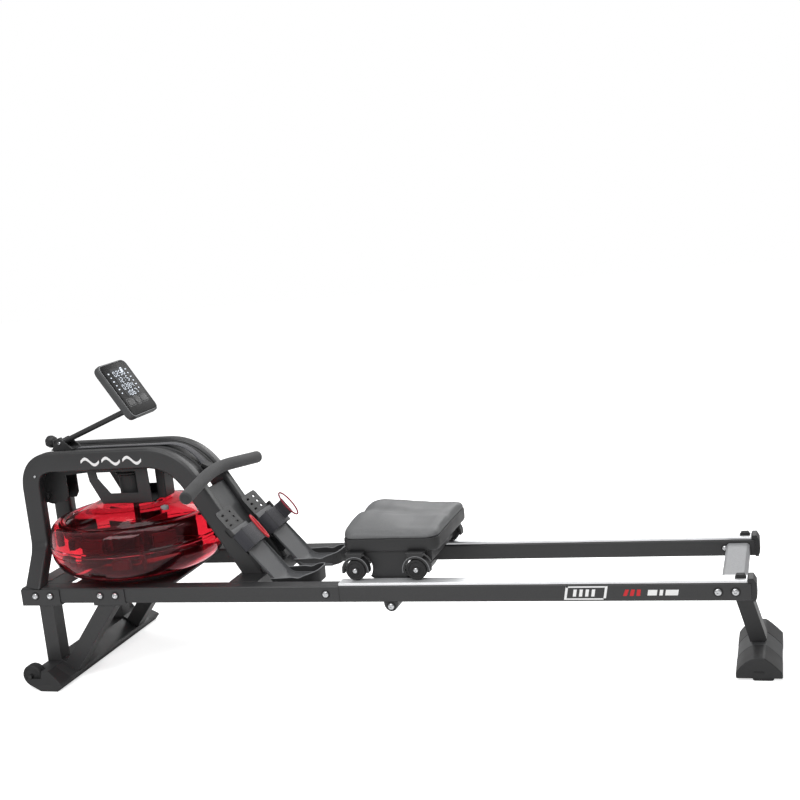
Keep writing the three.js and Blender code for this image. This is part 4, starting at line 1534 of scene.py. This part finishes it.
@dataclass
class Footrest(SubAssembly):
    """One footrest: base, sliding heel plate, strap and pull loop."""

    side: str = "left"
    sign: int = -1
    half: float = 50.0
    sole: float = 258.0
    cup: float = 116.0
    band: float = 106.0

    @property
    def name(self) -> str:
        """Name for the log."""
        return f"footrest {self.side}"

    def build(self) -> None:
        """Makes the heel plate, the strap, its loop and the latch."""
        self.slope = Slope(563, self.sign * 85, 449, 52)
        self._heel()
        self._strap()
        self._loop()
        self._dial()

    def _heel(self) -> None:
        """Sole that bends into a level floor, and the wall of the cup round it."""
        tilt = math.radians(self.slope.tilt)
        flat = Vector((math.cos(tilt), math.sin(tilt)))
        start, corner = Vector((62, 2.2)), Vector((self.sole, 2.2))
        reach = 20.0
        a, c = corner - Vector((reach, 0)), corner + flat * reach
        line = [start + (a - start) * k / 14 for k in range(14)]
        line += [
            a * (1 - t / 10) ** 2 + corner * 2 * t / 10 * (1 - t / 10) + c * (t / 10) ** 2
            for t in range(11)
        ]
        line += [c + flat * (self.cup - 20 - reach) * k / 6 for k in range(1, 7)]
        sides = [-1, -1, -0.985, -0.95, -0.8, -0.4, 0, 0.4, 0.8, 0.95, 0.985, 1, 1]
        heights = [1, 0.5, 0.12, 0.03, 0, -0.02, -0.03, -0.02, 0, 0.03, 0.12, 0.5, 1]
        grid = []
        for i, p in enumerate(line):
            before, after = line[max(i - 1, 0)], line[min(i + 1, len(line) - 1)]
            run = (after - before).normalized()
            up = Vector((-run.y, run.x))
            wall = 2.5 + 6 * min(1.0, i / 12)
            rows = [(p + up * wall * h, s) for s, h in zip(sides, heights)]
            grid.append([self.slope.spot(q.x, s * self.half, q.y) for q, s in rows])
        count = len(sides)
        quads = [(i * count + k, i * count + k + 1) for i in range(len(grid) - 1) for k in range(count - 1)]
        faces = [(m, n, n + count, m + count) for m, n in quads]
        plate = Forge.mesh(f"heel_{self.side}", [p for row in grid for p in row], faces)
        skin = plate.modifiers.new("wall", "SOLIDIFY")
        skin.thickness = 0.0032
        skin.offset = 0
        round_off = plate.modifiers.new("round", "SUBSURF")
        round_off.levels = 1
        round_off.render_levels = 1
        Forge.fit(plate, SOLE, f"heel_{self.side}", "grey_plastic", [f"heel_plate_{self.side}"], angle=80)
        self._cup()

    def _cup(self) -> None:
        """Wall round the heel, highest at the back, with a light grey bead along its rim that paints the
        rim's highlight.
        """
        tilt = math.radians(self.slope.tilt)
        x0 = self.slope.x + self.sole * math.cos(tilt)
        floor = self.slope.z - self.sole * math.sin(tilt) + 1.4
        side_y, round_r = self.half + 0.5, 36.0
        end = x0 + self.cup - 4
        plan: Outline = [(x0 - 17 + (end - round_r - x0 + 17) * k / 12, -side_y) for k in range(13)]
        for k in range(1, 9):
            turn = math.pi / 2 * k / 8
            plan.append((end - round_r + round_r * math.sin(turn), -side_y + round_r * (1 - math.cos(turn))))
        plan += [(x, -y) for x, y in reversed(plan)]
        outer, rim = [], []
        for i, (x, y) in enumerate(plan):
            before, after = plan[max(i - 1, 0)], plan[min(i + 1, len(plan) - 1)]
            dx, dy = after[0] - before[0], after[1] - before[1]
            size = math.hypot(dx, dy)
            nx, ny = dy / size, -dx / size
            low = max(floor, self.slope.z - (x - self.slope.x) * math.tan(tilt) - 2)
            share = max(0.0, min(1.0, (x - x0 + 17) / (end - x0 + 17)))
            top = max(floor + 21 + 15 * share**2.2 - 5 * math.exp(-(((share - 0.62) / 0.1) ** 2)), low + 3)
            ring = [
                (0, low),
                (1.5, low),
                (1.5 + 1.5, top - 0.6),
                (1.5 + 0.4, top),
                (0.2 + 0.4, top),
                (0, top - 0.6),
            ]
            outer.append([at(x + nx * (d - 1.5), self.slope.y + y + ny * (d - 1.5), z) for d, z in ring])
            rim.append(at(x + nx * 0.6, self.slope.y + y + ny * 0.6, top + 0.3))
        cup = Forge.loft(f"heel_cup_{self.side}", outer)
        Forge.fit(cup, BLACK, f"heel_{self.side}", "grey_plastic", angle=40)
        # Light grey strip along the rim: painted highlight.
        bead = Forge.sweep(f"cup_highlight_bead_{self.side}", circle(1.5, 8), rim, Vector((0, 0, 1)))
        Forge.fit(bead, HIGHLIGHT_BEAD, f"heel_{self.side}", "grey_plastic", angle=70)

    def _strap(self) -> None:
        """Band over the foot with its two buckles."""
        ends = [(-54.6, 0.8), (-54.6, 9), (-52.6, 19), (-42, 27), (-22, 31), (0, 32.2), (22, 31), (42, 27)]
        ends += [(52.6, 19), (54.6, 9), (54.6, 0.8)]
        path = [self.slope.spot(self.band, y, z) for y, z in spline(ends, 4)]
        band = Forge.sweep(f"strap_{self.side}", rounded(56, 2.6, 1.2, 3), path, self.slope.down)
        Forge.fit(band, WEB, "frame", "webbing", [f"foot_strap_{self.side}"], angle=40)
        for i, y in enumerate((-36.0, 34.0)):
            rings = []
            for scale, up in ((1.0, 31.2), (1.0, 33.8), (0.94, 34.6), (0.8, 34.6), (0.8, 31.2)):
                ring = []
                for a, b in rounded(60 * (1 if scale > 0.85 else 0.93), 15 * scale, 3.4 * scale, 4):
                    ring.append(self.slope.spot(self.band + a, y + b, up - 2.2 - abs(y + b) * 0.09))
                rings.append(ring)
            buckle = Forge.loft(f"buckle_{self.side}_{i}", rings, closed=True)
            Forge.fit(buckle, BLACK, "frame", "black_plastic")

    def _loop(self) -> None:
        """The strap's free end and its red pull loop: lying on the left, standing on the right."""
        standing = self.sign > 0
        if standing:
            line = [(8, 33.6), (11, 40), (10, 50), (6, 60), (1, 70)]
            path = [self.slope.spot(self.band - 4, y, z) for y, z in spline(line, 5)]
            tab = Forge.sweep("strap_tab", rounded(48, 2.4, 1.1, 3), path, self.slope.down)
            Forge.fit(tab, WEB, "frame", "webbing", angle=40)
            middle, wide, deep, tall = (self.band - 5, 1.0, 76.0), 39.0, 4.0, 9.0
        else:
            middle, wide, deep, tall = (self.band - 5, 26.0, 37.4), 38.0, 4.5, 1.0
        ring = []
        for k in range(56):
            turn = 2 * math.pi * k / 56
            x, y, z = middle
            ring.append((x + wide * math.cos(turn), y + deep * math.sin(turn), z + tall * math.sin(turn)))
        thick = 2.3 if standing else 2.9
        cord = Forge.sweep(
            f"pull_loop_{self.side}",
            circle(thick, 12),
            [self.slope.spot(*p) for p in ring],
            self.slope.out if not standing else RIGHT,
            closed=True,
        )
        # The standing loop takes the darker copy of the same red: painted shade.
        Forge.fit(cord, LOOP_SHADED if standing else LOOP, "frame", "webbing", angle=60)

    def _dial(self) -> None:
        """Size latch beside the toe plate, on a foot that reaches under the heel plate to the base."""
        latch = self.slope.plate(
            f"size_latch_{self.side}", shifted(rounded(26, 6.4, 3), 66, self.sign * 56.2), -6, 9
        )
        Forge.fit(latch, BLACK, "frame", "black_plastic", rounding=0.0018)
        foot = self.slope.plate(
            f"latch_foot_{self.side}", shifted(rounded(26, 16.4, 3), 66, self.sign * 51.2), -6, -0.4
        )
        Forge.fit(foot, BLACK, "frame", "black_plastic", rounding=0.0012)

    def dress(self) -> None:
        """Paints the base."""
        self.paint(BLACK, f"footrest_base_{self.side}")


@dataclass
class Seat(SubAssembly):
    """Cushion, carriage and wheels."""

    name = "seat"
    front: float = 925.0
    rear: float = 1183.0
    half: float = 158.0
    rim: float = 375.0
    crease: float = 382.0
    axles: Tuple[Tuple[str, int], ...] = (("front", 962), ("rear", 1126))
    axle_z: float = 300.3

    def build(self) -> None:
        """Makes the cushion, the carriage and the wheels."""
        self._cushion()
        self._carriage()
        mirrored(self._wheels)

    def _top(self, x: float, y: float) -> float:
        """Height of the cushion's top above the floor, in millimetres.

        Two humps at the front with a groove between them, falling to two dishes at the rear.

        Args:
            x: Distance behind the datum.
            y: Distance to the right of the middle.

        Returns:
            The height.
        """
        u = (x - self.front) / (self.rear - self.front)
        v = min(abs(y) / (self.half + 2), 1.0)
        along = [(-0.1, 0), (0.0, 13), (0.03, 27), (0.075, 35.5), (0.14, 38), (0.3, 34), (0.5, 27), (0.7, 22)]
        along += [(0.88, 20), (0.97, 16), (1.0, 5), (1.1, 0)]
        for (u0, h0), (u1, h1) in zip(along, along[1:]):
            if u <= u1:
                t = (u - u0) / (u1 - u0)
                height = h0 + (h1 - h0) * t * t * (3 - 2 * t)
                break
        edge = (1 - v**3.2) ** 0.62
        height *= edge
        height -= (8 * math.exp(-((v / 0.17) ** 2))) * min(1.0, height / 20) * (1.15 - 0.8 * max(u, 0.0))
        height -= 5 * math.exp(-(((u - 0.72) / 0.2) ** 4) - (((v - 0.5) / 0.3) ** 4))
        return self.crease + max(height, 0.0)

    def _cushion(self) -> None:
        """Padded cushion, swollen and resting on the tray."""
        cx = (self.front + self.rear) / 2
        outline = rounded(self.rear - self.front + 1, 2 * self.half + 1, 34, 8)
        shape: Outline = []
        for i, a in enumerate(outline):
            b = outline[(i + 1) % len(outline)]
            steps = max(1, int(math.dist(a, b) / 6))
            shape += [
                (a[0] + (b[0] - a[0]) * k / steps, a[1] + (b[1] - a[1]) * k / steps)
                for k in range(steps)
            ]
        rings = [[at(cx + a * 0.97, b * 0.975, self.rim) for a, b in shape]]
        rings.append([at(cx + a, b, self.crease - 3) for a, b in shape])
        rings.append([at(cx + a, b, self.crease) for a, b in shape])
        for k in range(1, 34):
            f = 1 - k / 34
            rings.append([at(cx + a * f, b * f, self._top(cx + a * f, b * f)) for a, b in shape])
        pad = Forge.loft("cushion", rings)
        self._inflate(pad)
        Forge.fit(pad, PAD, "seat", "seat_pad", ["seat_cushion"], angle=50)

    def _inflate(self, pad: bpy.types.Object) -> None:
        """Lets the foam swell a little inside its skin, then rests it on the tray.

        Args:
            pad: The cushion.
        """
        bpy.context.view_layer.objects.active = pad
        pad.data.remesh_voxel_size = 0.005
        remesh = pad.modifiers.new("remesh", "REMESH")
        remesh.mode = "VOXEL"
        remesh.voxel_size = 0.005
        self._apply(pad)
        before = [v.co.copy() for v in pad.data.vertices]
        cloth = pad.modifiers.new("swell", "CLOTH")
        cloth.settings.quality = 5
        cloth.settings.mass = 0.3
        cloth.settings.tension_stiffness = 40
        cloth.settings.compression_stiffness = 40
        cloth.settings.bending_stiffness = 5
        cloth.settings.use_pressure = True
        cloth.settings.uniform_pressure_force = 4
        cloth.settings.effector_weights.gravity = 0
        cloth.point_cache.frame_end = 14
        for number in range(1, 15):
            bpy.context.scene.frame_set(number)
        self._apply(pad)
        bpy.context.scene.frame_set(1)
        limit = 0.004
        for vertex, old in zip(pad.data.vertices, before):
            move = vertex.co - old
            if move.length > limit:
                move *= limit / move.length
            vertex.co = old + move * 0.6
            vertex.co.z = max(vertex.co.z, self.rim * MM)
        fine = pad.modifiers.new("fine", "SUBSURF")
        fine.levels = 1
        fine.render_levels = 1

    @staticmethod
    def _apply(pad: bpy.types.Object) -> None:
        """Puts the modifiers' result into the mesh.

        Args:
            pad: The cushion.
        """
        bpy.context.view_layer.update()
        graph = bpy.context.evaluated_depsgraph_get()
        result = bpy.data.meshes.new_from_object(pad.evaluated_get(graph))
        pad.modifiers.clear()
        pad.data = result

    def _carriage(self) -> None:
        """Tub, skirts with wheel arches, guards and axle beams."""
        cx = (self.front + self.rear) / 2
        rings = []
        for inset, z in (
            (10, 343),
            (5, 343.4),
            (2, 345),
            (0.6, 348),
            (0, 356),
            (0, 372),
            (0.6, 376.4),
            (2.4, 377.4),
        ):
            outline = rounded(
                self.rear - self.front - 2 * inset, 2 * (self.half - inset), 30 - inset * 0.5, 8
            )
            rings.append([at(cx + a, b, z) for a, b in outline])
        tub = Forge.loft("seat_tub", rings)
        Forge.fit(tub, BLACK, "seat", "black_plastic", ["seat_carriage"], angle=40)
        for side, sign in SIDES:
            low, high = sorted((sign * 141, sign * 149))
            outline: Outline = [(936, 349), (936, 338)]
            for (end, x), (start, stop) in zip(self.axles, ((160, -38), (218, 20))):
                for k in range(15):
                    turn = math.radians(start + (stop - start) * k / 14)
                    outline.append((x + 39 * math.cos(turn), self.axle_z + 39 * math.sin(turn)))
                if end == "front":
                    outline += [(1006, 268), (1082, 268)]
            outline += [(1164, 338), (1164, 349)]
            skirt = Forge.prism(f"skirt_{side}", outline, low, high)
            Forge.fit(skirt, BLACK, "seat", "black_plastic", rounding=0.0025)
            for end, x in self.axles:
                self._fender(f"{end}_{side}", x, sign)
        for end, x in self.axles:
            beam = Forge.prism(f"axle_beam_{end}", shifted(rounded(26, 62, 5), x, 320), -148, 148)
            Forge.fit(beam, BLACK, "seat", "black_plastic", rounding=0.002)

    def _fender(self, name: str, x: float, sign: int) -> None:
        """Guard that wraps the upper half of a wheel, with a light grey lip on its outer edge that paints the
        edge's highlight.

        Args:
            name: End and side, for the names.
            x: Middle of the wheel behind the datum.
            sign: -1 for the left side, 1 for the right.
        """
        z = self.axle_z
        low, high = sorted((sign * 153, sign * 177))

        def arc(inner: float, outer: float, start: float, end: float) -> Outline:
            """Ring segment about the wheel.

            Args:
                inner: Inner radius.
                outer: Outer radius.
                start: First angle in degrees.
                end: Last angle in degrees.

            Returns:
                Its outline.
            """
            angles = [math.radians(start + (end - start) * k / 24) for k in range(25)]
            far = [(x + outer * math.cos(a), z + outer * math.sin(a)) for a in angles]
            near = [(x + inner * math.cos(a), z + inner * math.sin(a)) for a in reversed(angles)]
            return far + near

        guard = Forge.prism(f"guard_{name}", arc(29.4, 36, -12, 192), low, high)
        # Light grey strip on the guard's outer edge: painted highlight.
        lip = Forge.prism(
            f"guard_highlight_lip_{name}", arc(34.6, 36.6, -12, 192), *sorted((sign * 175.6, sign * 177.6))
        )
        Forge.fit(lip, HIGHLIGHT_BEAD, "seat", "grey_plastic", rounding=0.0006, steps=2)
        Forge.fit(guard, BLACK, "seat", "black_plastic", rounding=0.0012)
        stem = Forge.prism(
            f"guard_stem_{name}",
            [(x - 19, z + 32), (x + 19, z + 32), (x + 25, 346), (x - 25, 346)],
            low,
            high - 8 if sign > 0 else high,
        )
        Forge.fit(stem, BLACK, "seat", "black_plastic", rounding=0.002)

    def _wheels(self, side: str, sign: int) -> None:
        """The two wheels of one side with their bolts.

        Args:
            side: "left" or "right".
            sign: -1 for the left side, 1 for the right.
        """
        for end, x in self.axles:
            profile = [(5.3, -8.6), (10, -9), (13, -7), (19, -6.4)]
            profile += [(21, -8.8), (24.6, -9), (26.6, -7), (27, -5)]
            profile += [(27, 5), (26.6, 7), (24.6, 9), (21, 8.8), (19, 6.4), (13, 7), (10, 9), (5.3, 8.6)]
            body = f"seat_wheel_{end}_{side}"
            spot = at(x, sign * 167, self.axle_z)
            wheel = Forge.lathe(f"tyre_{end}_{side}", profile, spot, RIGHT, 64, closed=True)
            Forge.fit(wheel, RUBBER, body, "rubber", [body], angle=36, rounding=0.0005, steps=2)
            outer = at(x, sign * 176.5, self.axle_z)
            self.bolt(f"axle_bolt_{end}_{side}", outer, Vector((0, sign, 0)), "seat", 6.5)


# ---- studio ---------------------------------------------------------------------------------------


@dataclass
class Studio:
    """Camera, lights, floor and world."""

    spot: Tuple[float, float, float] = (1.0989, -3.1059, 1.2492)
    yaw: float = 0.3111
    pitch: float = 0.164
    roll: float = 0.1069
    lens: float = 56.612

    def make(self) -> None:
        """Sets everything up."""
        self._camera()
        self._world()
        self._floor()
        self._light("key", (-0.6, -2.6, 2.8), (0.0, 0.0, 0.3), (2.4, 1.6), 62)
        self._light("top", (0.3, 0.4, 3.4), (0.1, 0.0, 0.3), (4.0, 2.2), 62)
        self._light("rim", (0.6, 2.6, 1.8), (0.0, 0.0, 0.4), (3.0, 1.0), 30)

    def _camera(self) -> None:
        """Camera at the fitted place."""
        data = bpy.data.cameras.new("camera")
        data.lens = self.lens
        data.sensor_width = 36
        data.clip_end = 50
        camera = bpy.data.objects.new("camera", data)
        bpy.context.scene.collection.objects.link(camera)
        turn = Matrix.Rotation(self.yaw, 3, "Z") @ Matrix.Rotation(-self.pitch, 3, "X")
        turn = turn @ Matrix.Rotation(self.roll, 3, "Y")
        right, forward, up = turn.col[0], turn.col[1], turn.col[2]
        place = Matrix((right, up, -forward)).transposed().to_4x4()
        place.translation = self.spot
        camera.matrix_world = place
        bpy.context.scene.camera = camera

    def _white(self, tree: Tree) -> Node:
        """1 for what the camera sees directly or through clear plastic.

        Args:
            tree: Node tree of the material or the world.

        Returns:
            Node whose first output it is.
        """
        path = tree.nodes.new("ShaderNodeLightPath")
        first = tree.nodes.new("ShaderNodeMath")
        first.operation = "MAXIMUM"
        tree.links.new(path.outputs["Is Camera Ray"], first.inputs[0])
        tree.links.new(path.outputs["Is Transmission Ray"], first.inputs[1])
        return first

    def _world(self) -> None:
        """Soft surround, white where it is seen directly."""
        world = bpy.data.worlds.new("studio")
        bpy.context.scene.world = world
        world.use_nodes = True
        tree = world.node_tree
        background = tree.nodes["Background"]
        strength = tree.nodes.new("ShaderNodeMapRange")
        strength.inputs["To Min"].default_value = 0.42
        strength.inputs["To Max"].default_value = 1.0
        tree.links.new(self._white(tree).outputs[0], strength.inputs["Value"])
        background.inputs["Color"].default_value = (1, 1, 1, 1)
        tree.links.new(strength.outputs["Result"], background.inputs["Strength"])

    def _floor(self) -> None:
        """Pale floor that keeps the shadow."""
        size = 12.0
        corners = [Vector((x, y, 0)) for x, y in ((-size, -size), (size, -size), (size, size), (-size, size))]
        floor = Forge.mesh("floor", corners, [(0, 1, 2, 3)])
        material = bpy.data.materials.new("floor")
        material.use_nodes = True
        tree = material.node_tree
        shader = tree.nodes["Principled BSDF"]
        shader.inputs["Base Color"].default_value = (0.9, 0.9, 0.9, 1)
        shader.inputs["Roughness"].default_value = 0.9
        shader.inputs["Specular IOR Level"].default_value = 0.0
        shader.inputs["Emission Color"].default_value = (1, 1, 1, 1)
        glow = tree.nodes.new("ShaderNodeMath")
        glow.operation = "MULTIPLY"
        glow.inputs[1].default_value = 0.66
        tree.links.new(self._white(tree).outputs[0], glow.inputs[0])
        tree.links.new(glow.outputs[0], shader.inputs["Emission Strength"])
        floor.data.materials.append(material)

    @staticmethod
    def _light(
        name: str,
        spot: Tuple[float, float, float],
        target: Tuple[float, float, float],
        size: Tuple[float, float],
        power: float,
    ) -> None:
        """One area light.

        Args:
            name: Name of the light.
            spot: Its place in metres.
            target: Where it points.
            size: Its length and width.
            power: Its power in watts.
        """
        data = bpy.data.lights.new(name, "AREA")
        data.shape = "RECTANGLE"
        data.size, data.size_y = size
        data.energy = power
        light = bpy.data.objects.new(name, data)
        bpy.context.scene.collection.objects.link(light)
        light.location = spot
        light.rotation_euler = (Vector(target) - Vector(spot)).to_track_quat("-Z", "Y").to_euler()


def main() -> None:
    """Builds the machine and its studio."""
    logging.basicConfig(level=logging.INFO, format="%(message)s")
    parts: List[SubAssembly] = [RailSet(), Feet(), Arches(), Pull(), Tank(), Console()]
    parts += [Footrest(side=side, sign=sign) for side, sign in SIDES]
    parts.append(Seat())
    for part in parts:
        part.make()
    Studio().make()
    bpy.context.scene.view_settings.view_transform = "Standard"


if __name__ == "__main__":
    main()
